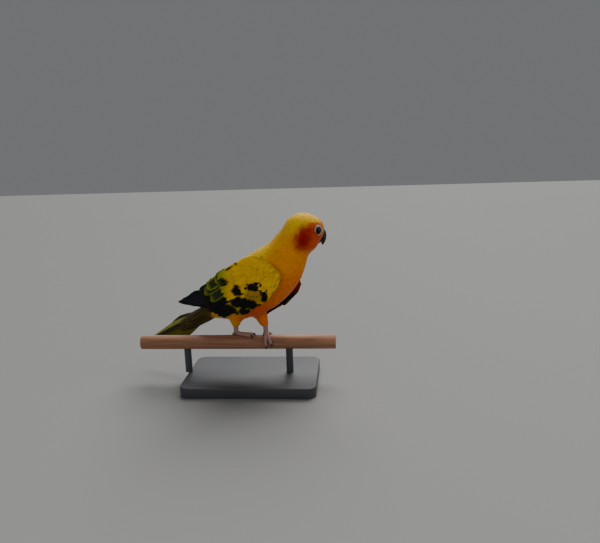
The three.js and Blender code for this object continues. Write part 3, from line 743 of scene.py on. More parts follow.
def coat_tree():
    grow = Group("feather coat", "GeometryNodeTree", COAT_INPUTS, {"Coat": "Geometry"})
    given = grow.given
    ground = given["Skin"]
    spacing = given["Spacing"]

    def named(name, kind="FLOAT"):
        return grow.add("GeometryNodeInputNamedAttribute", Name=name, data_type=kind)

    def chance(low, high, extra):
        span = {2: low, 3: high, 8: given["Seed"] + extra}
        return grow.add("FunctionNodeRandomValue", numbered=span, data_type="FLOAT")[1]

    def stored(geometry, name, value, kind="FLOAT", domain="POINT"):
        words = {"Geometry": geometry, "Name": name, "Value": value, "data_type": kind}
        return grow.add("GeometryNodeStoreNamedAttribute", domain=domain, **words)

    in_zone = grow.maths("LESS_THAN", grow.maths("ABSOLUTE", named("zone") - given["Zone"]), 0.5)
    crowd = grow.maths("DIVIDE", CROWDING, spacing * spacing)
    scatter = {"Mesh": ground, "Selection": in_zone, "Distance_Min": spacing, "Density_Max": crowd}
    scatter.update({"Seed": given["Seed"], "distribute_method": "POISSON"})
    points = grow.add("GeometryNodeDistributePointsOnFaces", **scatter)
    points = stored(points, "root_place", named("OFBake", VECTOR), VECTOR)
    points = stored(points, "chance", chance(0, 1, 11))
    points = stored(points, "length", named("length") * chance(0.85, 1.15, 12))

    axes = (named("way_out", VECTOR), named("lie", VECTOR))
    facing = grow.add("FunctionNodeAxesToRotation", *axes, primary_axis="Z", secondary_axis="X")
    swing = grow.add("FunctionNodeEulerToRotation", grow.vector(0, 0, chance(-SWING, SWING, 13)))
    turn = grow.add("FunctionNodeRotateRotation", facing, swing, rotation_space="LOCAL")
    size = grow.vector(named("length"), named("length") * given["Slimness"], named("length"))
    kinds = grow.add("GeometryNodeCollectionInfo", given["Feathers"], True, True)
    pick = grow.add("FunctionNodeRandomValue", numbered={4: 0, 5: 4, 8: 5}, data_type="INT")[2]
    placing = {"Points": points, "Instance": kinds, "Pick_Instance": True, "Instance_Index": pick}
    placed = grow.add("GeometryNodeInstanceOnPoints", Rotation=turn, Scale=size, **placing)
    real = grow.add("GeometryNodeRealizeInstances", placed)

    here = grow.add("GeometryNodeInputPosition")
    near = {"Sample_Position": here, "target_element": "FACES"}
    near = grow.add("GeometryNodeProximity", ground, **near)["Position"]
    out = {"Mesh": ground, "Value": named("way_out", VECTOR), "Sample_Position": near}
    out = grow.add("GeometryNodeSampleNearestSurface", data_type=VECTOR, **out)
    vane = grow.add("ShaderNodeSeparateXYZ", named("vane", VECTOR))
    rise = grow.maths("POWER", grow.maths("MAXIMUM", vane, 0.0), 0.8) * given["Lift"]
    height = rise + vane[1] * vane[1] * -CAMBER + (named("chance") * CAMBER - CAMBER)
    height = height * named("length")
    lifted = grow.vectors("ADD", near, grow.vectors("SCALE", out, Scale=height))
    laid = grow.add("GeometryNodeSetPosition", Geometry=real, Position=lifted)

    patch = grow.vectors("SUBTRACT", grow.vector(vane, vane[1] * 0.5 + 0.5, 0), (0.5, 0.5, 0))
    patch = grow.vectors("SCALE", patch, Scale=PATCH)
    place = grow.vectors("ADD", named("root_place", VECTOR), patch)
    mapped = stored(laid, "OFBake", place, "FLOAT2", "CORNER")
    finished = grow.add("GeometryNodeSetMaterial", Geometry=mapped, Material=given["Finish"])
    return grow.give(Coat=finished)


coat = coat_tree()
print("coat tree:", len(coat.nodes), "nodes")

# %% [markdown]
# The plumage group draws the barbs of a vane from its own coordinates, which the attribute "vane"
# holds: how far along the shaft and how far across. Each feather also differs a little, and painted
# shade darkens it towards its root. The skin under the feathers carries their tints, darker in its
# pores, and shows only where they part.

# %% Plumage group and skin finish
PORE_SHADE = (0.45, 0.4, 0.38, 1)


def plumage_group():
    inputs = {"Barbs": "Float", "Slant": "Float", "Contrast": "Float"}
    grow = Group("plumage", "ShaderNodeTree", inputs, FINISH_OUTPUTS)
    given = grow.given
    vane = grow.kept("vane", "Vector")
    way = grow.add("ShaderNodeSeparateXYZ", vane)
    across = grow.maths("ABSOLUTE", way[1])
    wobble = grow.noise(vane, 5.0)
    place = wobble * 0.12 + (way - across * given["Slant"])
    barb = grow.maths("SINE", place * given["Barbs"] * (2 * math.pi)) * 0.5 + 0.5
    shaft = grow.maths("MAXIMUM", grow.maths("SUBTRACT", 1.0, across * 14.0), 0.0)
    light = (barb + wobble - 1.0) * given["Contrast"] + 0.94
    light = light + (grow.kept("chance") * 0.16 - 0.08)
    # painted shade: each vane darkens towards its root, as if shaded by the feathers over it
    light = light * grow.maths("MINIMUM", way * 0.5 + 0.62, 1.0)
    shade = grow.vector(light, light, light)
    colour = grow.mix(grow.kept("tint", "Color"), shade, 1.0, "MULTIPLY")
    return grow.give(Color=colour, Roughness=barb * 0.12 + 0.52, Height=barb * 0.5 + shaft)


PLUMAGE = plumage_group()


def feather_material(name, barbs, slant, contrast, depth, sheen=0.04):
    finish = Finish(name, Sheen_Weight=sheen, Sheen_Roughness=0.4, Specular_IOR_Level=0.14)
    values = {"Barbs": barbs, "Slant": slant, "Contrast": contrast}
    vane = finish.add("ShaderNodeGroup", node_tree=PLUMAGE, **values)
    return finish.surface(vane["Color"], vane["Roughness"], vane["Height"], 0.35, depth)


def skin_material():
    finish = Finish("feathered skin", Specular_IOR_Level=0.2)
    tint = finish.kept("tint", "Color")
    pores = finish.cells(finish.place(), 900.0)
    dark = finish.mix(tint, PORE_SHADE, 1.0, "MULTIPLY")
    return finish.surface(finish.mix(dark, tint, pores), 0.8, pores, 0.3, 0.1)


soft_plumage = feather_material("body feathers", 9.0, 0.3, 0.16, 0.12, 0.16)
flight_plumage = feather_material("flight feathers", 30.0, 0.12, 0.2, 0.1)
covert_plumage = feather_material("wing coverts", 16.0, 0.22, 0.2, 0.12)
wing_lining = feather_material("wing lining", 12.0, 0.2, 0.1, 0.1)
skin.data.materials.append(skin_material())
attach(skin, "root")
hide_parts("head", "neck", "torso", "thigh_left", "thigh_right")
print("materials:", [material.name for material in bpy.data.materials])

# %% [markdown]
# One run of the tree makes the coat of one zone, with its own spacing, width and lift. The result
# is turned into a plain mesh, and the modifier's carrier is removed.

# %% Feather coat, zone by zone
COAT_ZONES = [
    ("face", tiny_feathers, 0.88, 0.6, 0.085, "coat_head"),
    ("neck", soft_feathers, 1.4, 0.56, 0.08, "coat_neck"),
    ("breast", soft_feathers, 1.95, 0.56, 0.08, "coat_torso"),
    ("back", soft_feathers, 2.1, 0.58, 0.08, "coat_torso"),
    ("thighs", soft_feathers, 1.5, 0.52, 0.11, "coat_thigh"),
]


def coat_piece(name, ground, feathers, zone, spacing, slimness, lift, seed):
    settings = {"Feathers": feathers, "Zone": float(zone), "Spacing": spacing * MM, "Slimness": slimness}
    settings.update({"Lift": lift, "Seed": seed, "Finish": soft_plumage})
    carrier = linked(name + "_carrier", ground.data)
    modifier = carrier.modifiers.new("coat", "NODES")
    modifier.node_group = coat
    for socket in coat.interface.items_tree:
        if socket.name in settings:
            modifier[socket.identifier] = settings[socket.name]
    piece = linked(name, evaluated_mesh(carrier))
    piece.data.name = name
    piece.data.shade_smooth()
    bpy.data.objects.remove(carrier)
    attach(piece, "root")
    say_size(piece)
    return piece


for number, (zone, feathers, spacing, slimness, lift, zone_slot) in enumerate(COAT_ZONES):
    piece = coat_piece("coat_" + zone, skin, feathers, number, spacing, slimness, lift, 40 + number)

# %% [markdown]
# A folded wing is laid out flat first, as seen from beside the bird, and then draped: every point
# is dropped from outside onto a form that follows the body and a long thin slab beside it. The far
# wing hangs a little lower than the near one, as in the photograph.

# %% Drape of a wing
WING_OUT = unit(np.array((0.38, -0.9, 0.22)))
WING_HINGE = np.array((40, 0, 80))
WING_DROP = {"left": (6, (1, 0, -20.5)), "right": (0, (0, 0, 0))}
SIDE_SIGN = {"left": 1, "right": -1}
SLAB_CENTRE = (-19, 10, 62)
SLAB_RADII = (108, 9, 37)
SLAB_YAW = 7.5
SLAB_PITCH = -16
WING_STANDOFF = 1.9
FAR_OUT = 60
LEAST_OUT = 6
DRAPE_PASSES = 60


def wing_form(points, side):
    sign = SIDE_SIGN[side]
    turn, shift = WING_DROP[side]
    lay = turned("Y", turn)
    centre = lay @ (SLAB_CENTRE * np.array((1, sign, 1)) - WING_HINGE) + WING_HINGE + shift
    slab_turn = lay @ turned("Z", sign * SLAB_YAW) @ turned("Y", SLAB_PITCH)
    slab = ellipsoid(points, centre, SLAB_RADII, slab_turn)
    return soft_min(trunk_form(points) - WING_STANDOFF, slab, 10)


def draped(side, x, z):
    turn, shift = WING_DROP[side]
    shape = np.shape(x)
    flat = np.stack([np.ravel(x), np.zeros(np.size(x)), np.ravel(z)], axis=1)
    flat = (flat - WING_HINGE) @ turned("Y", turn).T + WING_HINGE + shift
    outward = WING_OUT * (1, -SIDE_SIGN[side], 1)
    away = np.full(len(flat), float(FAR_OUT))
    for _ in range(DRAPE_PASSES):
        gap = wing_form(flat + away[:, None] * outward, side)
        away = np.where((gap > 0.01) & (away > LEAST_OUT), away - np.maximum(gap * 0.8, 0.05), away)
    points = flat + np.maximum(away, LEAST_OUT)[:, None] * outward
    normals = unit(slope_of(lambda p: wing_form(p, side), points, 0.2)[1])
    return points.reshape(*shape, 3), normals.reshape(*shape, 3)


check = draped("right", np.array([0.0]), np.array([60.0]))[0][0]
print("a point in the near wing's middle is draped to", check.round(1))

# %% [markdown]
# The wing's colours are bright yellow over the shoulder, broken by black-green blotches, and then
# green-black feathers with yellow-green rims, down to blue-black flight feathers. The blotches are
# soft areas on the flat layout. A feather is dark in its middle and keeps a light rim, so that the
# blotches break into scallops.

# %% Wing colours
SHOULDER = linear(254, 200, 2)
LIME = linear(160, 164, 16)
KHAKI_SCALE = linear(150, 116, 20)
# The dark orange below is painted shade: the lining's orange near the wing's bend, darkened.
SHADED_LINING_ORANGE = linear(150, 52, 8)
RIM_OLIVE = linear(70, 80, 22)
BLACK_GREEN = linear(12, 14, 8)
BOTTLE = linear(36, 50, 18)
INK = linear(10, 12, 15)
SLATE = linear(72, 80, 88)
DARK_UNDER = linear(30, 28, 24)
BLOTCHES = [
    ((15, 70.5), (6.4, 3), 1.0), ((11, 65.5), (9.4, 3.6), 1.0), ((21.5, 59), (4, 8.4), 1.0),
    ((-10, 61), (6.5, 6.5), 1.0), ((-6, 48), (17, 6.2), 1.0), ((11, 45), (10, 5), 1.0),
    ((-2, 37.5), (8, 5), 0.95), ((-36, 36.5), (24, 9), 1.0), ((-50, 56), (18, 17), 1.0),
    ((-30, 68), (7, 6), 0.8), ((-11, 90), (3.4, 1.7), 0.8), ((-17, 86), (3.2, 1.8), 0.8),
    ((-22, 83), (2.8, 1.8), 0.75), ((7, 79.5), (1.3, 1), 0.6),
]


def darkness(x, z):
    flat = np.stack([x, z], axis=-1).reshape(-1, 2)
    flat = flat + 1.6 * np.stack([ripple(flat, 11, 5), ripple(flat, 11, 6)], axis=1)
    shares = [share * blob(flat, centre, radii, 0.35) for centre, radii, share in BLOTCHES]
    return np.max(shares, axis=0).reshape(x.shape)


def light_tone(x, z):
    tone = mixed(SHOULDER, LIME, np.maximum(ramp(-x, 18, 32), 0.8 * ramp(-z, -52, -44)))
    inside = 0.75 * blob(np.stack([x, z], axis=-1), (10, 56), (11, 8), 0.3)
    return mixed(tone, KHAKI_SCALE, inside)


def covert_tint(x, z, t, u, chance):
    rim = np.maximum(ramp(np.abs(u), 0.5, 0.95), ramp(t, 0.72, 0.98)) * ramp(z, 37, 47)
    dark = darkness(x, z) + 0.18 * (chance - 0.5) - 0.34 * rim
    deep = mixed(BLACK_GREEN, BOTTLE, ramp(-x, 22, 34) * ramp(z, 46, 56))
    return mixed(light_tone(x, z), deep, ramp(dark, 0.2, 0.55))


def flight_tint(x, z, t, u, chance):
    rim = ramp(-u, 0.72, 0.95) * ramp(z, 38, 48)
    streak = 0.35 * ramp(np.sin(u * 7 + 6 * chance), 0.6, 1) * ramp(-x, 40, 60)
    deep = mixed(INK, BOTTLE, 0.4 * ramp(z, 50, 62) * ramp(x, -70, -50))
    edge = mixed(SLATE, RIM_OLIVE, ramp(x, -62, -46))
    return mixed(deep, edge, np.maximum(0.7 * rim * chance, streak))


def tertial_tint(x, z, t, u, chance):
    rim = np.maximum(ramp(np.abs(u), 0.6, 0.9), ramp(t, 0.8, 0.97))
    middle = mixed(BOTTLE, SLATE, 0.25 * (1 - ramp(np.abs(u), 0, 0.5)))
    return mixed(middle, LIME, 0.85 * rim * (0.6 + 0.4 * chance))


print("blotches:", len(BLOTCHES))

# %% [markdown]
# Each wing feather is a thin closed vane: a grid of points along and across it, draped at its own
# height. It rises from its root to its tip over the feathers behind, and its lower edge lies over
# the next one. The outer web is narrower than the inner one, and the edges are slightly ragged.

# %% Vane of a wing or tail feather
VANE_THICKNESS = 0.22
CELL_EDGE = 0.04


def web_width(t, blunt):
    full = np.minimum(1, 0.62 + 1.4 * t)
    past = np.clip((t - blunt) / (1 - blunt), 0, 1)
    return full * np.sqrt(np.clip(1 - past**2.2, 0.004, 1))


def vane_grid(rows, columns):
    return np.meshgrid(np.linspace(0, 1, rows), np.linspace(-1, 1, columns), indexing="ij")


def ragged_edge(rng, t, u, depth):
    return 1 + depth * rng.normal(size=t.shape) * (np.abs(u) > 0.99) * (t > 0.2)


class Vanes:
    """Gathers closed vanes into one mesh, with a place for each on the OFBake map."""

    def __init__(self, cells):
        self.cells = cells
        self.made = 0
        self.faces = []
        self.kept = {"points": [], "tint": [], "vane": [], "chance": [], "uv": []}

    def add(self, top, under, t, u, top_tint, under_tint, chance):
        rows, columns = t.shape
        start = sum(len(points) for points in self.kept["points"])
        row, column = divmod(self.made, self.cells)
        along = (row + CELL_EDGE + (1 - 2 * CELL_EDGE) * t) / self.cells
        for half, points, tint in ((0, top, top_tint), (0.5, under, under_tint)):
            across = (column + half + CELL_EDGE + (0.5 - 2 * CELL_EDGE) * (u * 0.5 + 0.5)) / self.cells
            self.kept["points"].append(points.reshape(-1, 3))
            self.kept["tint"].append(tint.reshape(-1, 3))
            self.kept["vane"].append(np.stack([t, u, np.zeros_like(t)], axis=-1).reshape(-1, 3))
            self.kept["chance"].append(np.full(t.size, chance))
            self.kept["uv"].append(np.stack([across, along], axis=-1).reshape(-1, 2))
        upper = start + np.arange(t.size).reshape(rows, columns)
        face = [upper[:-1, :-1], upper[:-1, 1:], upper[1:, 1:], upper[1:, :-1]]
        face = np.stack(face, axis=-1).reshape(-1, 4)
        rim = np.concatenate([upper[:, 0], upper[-1, 1:], upper[-2::-1, -1], upper[0, -2:0:-1]])
        after = np.roll(rim, -1)
        edge = np.stack([rim, after, after + t.size, rim + t.size], axis=1)
        both = np.stack([face, face[:, ::-1] + t.size], axis=1).reshape(-1, 4)
        self.faces += both.tolist() + edge.tolist()
        self.made += 1

    def piece(self, name, material):
        kept = {key: np.concatenate(parts) for key, parts in self.kept.items()}
        piece = mesh_object(name, to_world(kept["points"]), self.faces)
        mesh = piece.data
        put_attributes(mesh, tint=with_alpha(kept["tint"]), vane=kept["vane"], chance=kept["chance"])
        corners = np.empty(len(mesh.loops), np.int32)
        mesh.loops.foreach_get("vertex_index", corners)
        mesh.uv_layers.new(name="OFBake").data.foreach_set("uv", kept["uv"][corners].ravel())
        mesh.materials.append(material)
        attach(piece, "root")
        say_size(piece)
        return piece


print("vane thickness", VANE_THICKNESS, "mm")

# %% [markdown]
# The feathers of a folded wing lie in tiers: long primaries at the tip, secondaries behind the
# forearm, a few broad tertials, and rows of coverts over their roots, each row shorter and nearer
# the shoulder. Roots and tips of a tier run along two smooth curves, so the feathers fan evenly.

# %% Tiers of wing feathers
OUTER_WEB = 0.86
INNER_WEB = 1.1
BOW = 0.035
ROOT_SUNK = 0.3
EDGE_TILT = 0.34
VANE_CAMBER = 0.22
WING_TIERS = [
    ("primary", 10, flight_tint, 4.3, 0.9, 0.55, 26,
     ((-22, 36), (-30, 43), (-36, 50)), ((-93, 41), (-84, 45.5), (-73, 52))),
    ("secondary", 10, flight_tint, 4.6, 1.4, 0.8, 22,
     ((0, 46), (-6, 53), (-14, 64), (-18, 71)), ((-33, 29.5), (-47, 34.5), (-56, 46), (-62, 55))),
    ("tertial", 4, tertial_tint, 6.4, 2.0, 0.66, 18,
     ((-16, 66), (-18, 72), (-19, 77), (-17, 81)), ((-45, 46), (-54, 53), (-50, 60), (-39, 68))),
    ("primary_covert", 6, covert_tint, 3.8, 1.8, 0.72, 16,
     ((20, 54), (10, 54), (0, 50)), ((-4, 35), (-16, 34.5), (-30, 37))),
    ("greater_covert", 13, covert_tint, 4.7, 2.1, 0.72, 16,
     ((34, 69), (22, 62), (12, 66), (4, 78), (0, 90)),
     ((20, 52), (-2, 42), (-20, 45.5), (-31, 57), (-35, 71))),
    ("median_covert", 12, covert_tint, 4.6, 2.4, 0.7, 14,
     ((37, 77), (28, 75), (20, 80), (16, 92)), ((25, 60), (5, 56), (-10, 64), (-18, 84))),
    ("lesser_covert", 11, covert_tint, 4.0, 2.6, 0.66, 12,
     ((37, 84), (30, 84), (22, 90), (18, 97)), ((31, 68), (14, 67), (0, 75), (-6, 90))),
]


def smooth_curve(corners, share):
    corners = np.array(corners, float)
    last = len(corners) - 1
    place = np.clip(np.asarray(share, float) * last, 0, last)
    i = np.minimum(place.astype(int), last - 1)
    f = (place - i)[..., None]
    padded = np.vstack([2 * corners[0] - corners[1], corners, 2 * corners[-1] - corners[-2]])
    a, b, c, d = (padded[i + k] for k in range(4))
    bend = (2 * a - 5 * b + 4 * c - d) * f**2 + (3 * b - a - 3 * c + d) * f**3
    return 0.5 * (2 * b + (c - a) * f + bend)


def wing_feathers(side):
    rng = np.random.default_rng(7 if side == "right" else 8)
    vanes = Vanes(cells=9)
    for _, count, tint, half, lift, blunt, rows, roots, tips in WING_TIERS:
        for share in np.linspace(0, 1, count):
            chance = rng.uniform()
            root = smooth_curve(roots, share)
            along = smooth_curve(tips, share) + rng.normal(0, 0.35, 2) - root
            across = unit(np.array((along[1], -along[0])))
            across = across * np.sign(across[1])
            t, u = vane_grid(rows, columns=9)
            width = half * web_width(t, blunt) * ragged_edge(rng, t, u, 0.05)
            width = width * np.where(u < 0, OUTER_WEB, INNER_WEB)
            off = u * width + BOW * np.linalg.norm(along) * np.sin(math.pi * t)
            x = root[0] + along[0] * t + across[0] * off
            z = root[1] + along[1] * t + across[1] * off
            base, normal = draped(side, x, z)
            rise = -ROOT_SUNK + (lift + ROOT_SUNK) * t**0.9 + 0.12 * (chance - 0.5)
            rise = rise - EDGE_TILT * u * np.minimum(1, 3 * t) - VANE_CAMBER * u * u
            top = base + normal * rise[..., None]
            under = top - normal * (VANE_THICKNESS * (1 - 0.6 * np.abs(u)))[..., None]
            colour = tint(x, z, t, u, chance)
            vanes.add(top, under, t, u, colour, mixed(colour, DARK_UNDER, 0.8), chance)
    return vanes.piece(f"wing_feathers_{side}", covert_plumage)


print("wing tiers:", [tier[0] for tier in WING_TIERS])

# %% [markdown]
# Under the feathers each wing has a core: its arm, hand and the roots of its feathers, as one soft
# closed sheet. Its lining is orange with painted shade near the bend, and black-green behind.
# Small feathers cover its front, from the bend of the wing up to the shoulder.

# %% Wing core and shoulder feathers
WING_LOWER = (
    (41.5, 79), (37, 66), (24, 53.5), (7, 43.5), (-13, 34), (-35, 32.5), (-55, 31), (-76, 35), (-93, 40.6),
)
WING_UPPER = (
    (39, 85), (27, 94), (11, 98), (-8, 95.5), (-24, 87.5), (-40, 76), (-56, 65), (-78, 51), (-93, 41.8),
)
CORE_REACH = 0.72
CORE_ROWS = 64
CORE_COLUMNS = 34
LIE_STEP = 0.8
SHOULDER_ZONE = 1


def wing_core(side):
    share = np.linspace(0, CORE_REACH, CORE_ROWS)
    share, u = np.meshgrid(share, np.linspace(0.04, 0.96, CORE_COLUMNS), indexing="ij")
    low = smooth_curve(WING_LOWER, share)
    place = low + (smooth_curve(WING_UPPER, share) - low) * u[..., None]
    x, z = place[..., 0], place[..., 1]
    base, normal = draped(side, x, z)
    swell = np.minimum(1, 4 * u * (1 - u)) * np.minimum(1, 0.3 + 4 * share)
    top = base + normal * (0.1 + 0.3 * swell)[..., None]
    under = base - normal * (0.7 + 3.0 * swell * (1 - 0.7 * share))[..., None]
    tint = covert_tint(x, z, 0 * x, 0 * x, 0.5)
    tint = mixed(tint, BLACK_GREEN, ramp(-x, -2, 8) * ramp(-z, -66, -54))
    # painted shade: the lining near the bend takes the darkened orange
    lining = mixed(BLACK_GREEN + 0 * tint, SHADED_LINING_ORANGE, ramp(z, 64, 76) * ramp(x, 14, 26))
    shell = Vanes(cells=1)
    shell.add(top, under, share / CORE_REACH, 2 * u - 1, tint, lining, 0.5)
    piece = shell.piece(f"wing_core_{side}", wing_lining)
    step_x = LIE_STEP * np.where(x > 20, 0.72, 0.95)
    step_z = LIE_STEP * np.where(x > 20, 0.69, 0.32)
    lie = unit(draped(side, x - step_x, z - step_z)[0] - base).reshape(-1, 3)
    out = normal.reshape(-1, 3)
    length = (5.2 + 3.2 * ramp(np.hypot(x - 40, z - 82), 4, 30)).ravel()
    zone = np.where((x > 4) & (z > 66), SHOULDER_ZONE, NO_ZONE).ravel()
    put_attributes(
        piece.data, lie=np.concatenate([lie, lie]) @ BIRD_TURN.T, length=np.tile(length, 2) * MM,
        way_out=np.concatenate([out, -out]) @ BIRD_TURN.T,
        zone=np.concatenate([zone, np.full(zone.size, NO_ZONE)]),
    )
    return piece


for number, side in enumerate(("left", "right")):
    feathers = wing_feathers(side)
    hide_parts(f"wing_{side}")
    core = wing_core(side)
    name = f"coat_shoulder_{side}"
    tuft = coat_piece(name, core, soft_feathers, SHOULDER_ZONE, 2.0, 0.66, 0.3, 60 + number)

# %% [markdown]
# The tail is a closed fan of twelve long feathers, the middle pair longest and uppermost. It is
# rolled about its own line, so its upper side faces the camera and its far edge is raised. Each
# feather is khaki with a paler outer edge and a dark inner web. The two outermost raised are black.

# %% Tail feathers
TAIL_ROLL = 52
TAIL_TURN = turned("Y", 180 - TAIL_SLOPE) @ turned("X", -TAIL_ROLL)
TAIL_LENGTH = 105
TAIL_START = 8
TAIL_PAIRS = 6
TAIL_SHORTENING = 0.085
TAIL_SPREAD = 1.55
TAIL_LAYER = 0.72
TAIL_HALF = ((0, 3.6), (35, 5.4), (70, 5), (90, 3), (100, 0.6))
RAISED_EXTRA = 7
KHAKI = linear(76, 66, 20)
KHAKI_EDGE = linear(118, 118, 26)
TAIL_DARK = linear(20, 16, 8)
TAIL_BLUE = linear(24, 34, 34)


def from_tail(x, y, z):
    return np.stack([x, y, z], axis=-1) @ TAIL_TURN.T + TAIL_ROOT


def tail_tints(t, u, pair, side, chance):
    outer = u * side
    upper = mixed(KHAKI, KHAKI_EDGE, ramp(outer, 0.3, 0.85))
    upper = mixed(upper, TAIL_DARK, 0.85 * ramp(-outer, -0.25, 0.5))
    upper = mixed(upper, TAIL_BLUE, 0.3 * ramp(t, 0.7, 1))
    if pair >= TAIL_PAIRS - 2 and side > 0:
        upper = mixed(upper, TAIL_DARK * 0.5, 0.9)
    upper = upper * (0.85 + 0.3 * chance)
    return mixed(TAIL_DARK, upper, 0.4), upper


def tail_feathers():
    rng = np.random.default_rng(5)
    vanes = Vanes(cells=4)
    for pair in range(TAIL_PAIRS):
        for side in (1, -1):
            raised = pair == TAIL_PAIRS - 1 and side > 0
            length = TAIL_LENGTH * (1 - TAIL_SHORTENING * pair**1.1) + RAISED_EXTRA * raised
            chance = rng.uniform()
            t, u = vane_grid(rows=34, columns=11)
            percent, half = np.moveaxis(smooth_curve(TAIL_HALF, t), -1, 0)
            t = percent / 100
            x = TAIL_START + (length - TAIL_START) * t
            middle = side * (0.9 + pair * (0.7 + TAIL_SPREAD * np.minimum(1, 1.4 * t)))
            y = middle + 1.5 * raised * t + u * half * ragged_edge(rng, t, u, 0.03)
            over = (pair + side / 4) * TAIL_LAYER + 0.1 * np.abs(y) - 2
            over = over - 0.25 * (1 - u * u) * (1 - t)
            outer = from_tail(x, y, over)
            inner = from_tail(x, y, over - 0.3 * (1 - 0.5 * np.abs(u)))
            vanes.add(outer, inner, t, u, *tail_tints(t, u, pair, side, chance), chance)
    return vanes.piece("tail_feathers", flight_plumage)


tail = tail_feathers()
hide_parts("tail")

# %% [markdown]
# Coverts wrap the tail's root in rings, yellow below and greener above, and thin out on the long
# feathers. They lie on an oval core that narrows from the rump, and hide the feathers' shafts.

# %% Tail coverts
COVERT_RINGS = [
    (-8, 28, 20, 1.5), (-2, 30, 20, 1.3), (5, 32, 18, 1.1), (13, 32, 16, 0.9), (22, 30, 12, 0.6),
]
COVERT_THICKNESS = 0.2
UNDER_YELLOW = linear(204, 140, 8)
UNDER_LIME = linear(84, 80, 14)


def on_tail_core(x, angle, rise):
    t = np.clip(x / TAIL_LENGTH, 0, 1)
    half_width = 9.3 - 6 * np.clip(t / 0.5, 0, 1) ** 3 + rise
    half_depth = 0.9 + 8.4 * np.maximum(0, 1 - t / 0.5) ** 1.6 + rise
    return from_tail(x, np.sin(angle) * half_width, np.cos(angle) * half_depth)


def tail_coverts():
    rng = np.random.default_rng(9)
    vanes = Vanes(cells=10)
    for ring, (start, length, count, lift) in enumerate(COVERT_RINGS):
        for i in range(count):
            chance = rng.uniform()
            around = 2 * math.pi * (i + 0.5 * (ring % 2)) / count + rng.normal(0, 0.05)
            t, u = vane_grid(rows=12, columns=7)
            x = start + length * rng.uniform(0.92, 1.08) * t
            angle = around + u * 2.3 * web_width(t, 0.5) / (9.5 - 0.1 * x)
            rise = -0.5 + (lift + 0.3) * t + 0.25 * (1 - u * u) + 0.2 * chance
            outer = on_tail_core(x, angle, rise)
            inner = on_tail_core(x, angle, rise - COVERT_THICKNESS)
            below = ramp(math.cos(around) - 0.7 * math.sin(around), 0.1, 0.9)
            colour = mixed(KHAKI, KHAKI_EDGE, 0.6 * chance * ramp(u, 0.4, 0.9))
            colour = mixed(colour, TAIL_DARK, 0.8 * ramp(-u, -0.3, 0.3) * ramp(t, 0.15, 0.5))
            colour = mixed(colour, mixed(UNDER_YELLOW, UNDER_LIME, ramp(x, -14, -6)), below)
            colour = mixed(colour, TAIL_DARK, 0.8 * below * ramp(x, 4, 20)) * (0.9 + 0.2 * chance)
            vanes.add(outer, inner, t, u, colour, colour * 0.7, chance)
    return vanes.piece("tail_coverts", covert_plumage)


tail_coverts()

# %% [markdown]
# The bill is black horn, deep and short, with a hooked upper half that closes over the lower one.
# Each half is lofted: oval rings are stretched between its ridge and its cutting edge. Horn grows
# in faint layers, which the finish shows as fine bands and a few scratches in a soft gloss.

# %% Bill
CULMEN = ((12.5, 4.5), (25, 7.5), (30.5, -3), (23.2, -14.8))
UPPER_EDGE = ((10, -5.4), (16, -6.8), (21.5, -5.6), (22.2, -14.4))
LOWER_EDGE = ((9, -6.6), (13, -7.6), (18, -8.2), (20.4, -9.6))
LOWER_RIDGE = ((7, -13), (12, -14.6), (17.5, -14.4), (20.2, -11))
BILL_SHIFT = -1.5
BILL_ROWS = 46
BILL_SIDES = 40


def bezier(corners, t):
    a, b, c, d = np.array(corners, float)
    t = t[:, None]
    point = a * (1 - t) ** 3 + 3 * b * t * (1 - t) ** 2 + 3 * c * t * t * (1 - t) + d * t**3
    return point + (BILL_SHIFT, 0)


def turn_of(sides):
    return np.linspace(0, 2 * math.pi, sides, endpoint=False)


def bill_half(name, ridge, edge, half_width, keel):
    t = np.linspace(0, 1, BILL_ROWS) ** 0.9
    top = bezier(ridge, t)[:, None]
    bottom = bezier(edge, t)[:, None]
    lift = np.cos(turn_of(BILL_SIDES))
    side = np.sin(turn_of(BILL_SIDES)) * (1 - keel * np.maximum(lift, 0) ** 2)
    profile = (top + bottom) / 2 + (top - bottom) / 2 * lift[:, None]
    rings = np.stack([profile[..., 0], half_width(t)[:, None] * side, profile[..., 1]], axis=-1)
    piece = closed_rings(name, [to_world(from_head(rings))], bill_horn)
    return piece


def horn_material(name, dark, worn, size):
    finish = Finish(name, Coat_Weight=0.25, Coat_Roughness=0.3)
    place = finish.place()
    bands = finish.noise(finish.add("ShaderNodeMapping", place, Scale=(1, 1, 3)), size, 4.0, 0.6)
    fine = finish.noise(place, size * 6, 3.0)
    colour = finish.mix(dark, worn, finish.maths("MAXIMUM", bands - 0.5, 0.0) * 3.0)
    return finish.surface(colour, fine * 0.3 + 0.22, bands * 2.0 + fine, 0.3, 0.12)


bill_horn = horn_material("bill horn", linear(14, 12, 12), linear(52, 47, 44), 260.0)
upper = bill_half("bill_top", CULMEN, UPPER_EDGE, lambda t: 6.7 * np.sqrt(1 - t**2.2) + 0.45, 0.22)
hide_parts("bill_upper")
lower = bill_half("bill_bottom", LOWER_EDGE, LOWER_RIDGE, lambda t: 5.9 * np.sqrt(1 - 0.8 * t * t), 0)
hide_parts("bill_lower")
print("bill made, shifted by", BILL_SHIFT, "mm")

# %% [markdown]
# The cere is the bare cushion over the bill's root, with the two nostrils. It is a small soft
# ellipsoid whose points are pushed in where the nostrils open.

# %% Cere and nostrils
CERE_CENTRE = np.array((15.6, 0, 4.2))
CERE_RADII = np.array((3.4, 5.0, 3.0))
NOSTRIL = np.array((17.6, 2.3, 6.4))


def skin_finish(name, pale, deep, size, roughness):
    finish = Finish(name, Subsurface_Weight=0.15, Subsurface_Scale=0.6 * MM)
    place = finish.place()
    cells = finish.cells(place, size)
    share = cells * finish.noise(place, size * 0.4, 3.0) * 2.4
    colour = finish.mix(deep, pale, finish.maths("MINIMUM", share, 1.0))
    return finish.surface(colour, roughness, cells, 0.45, 0.1)


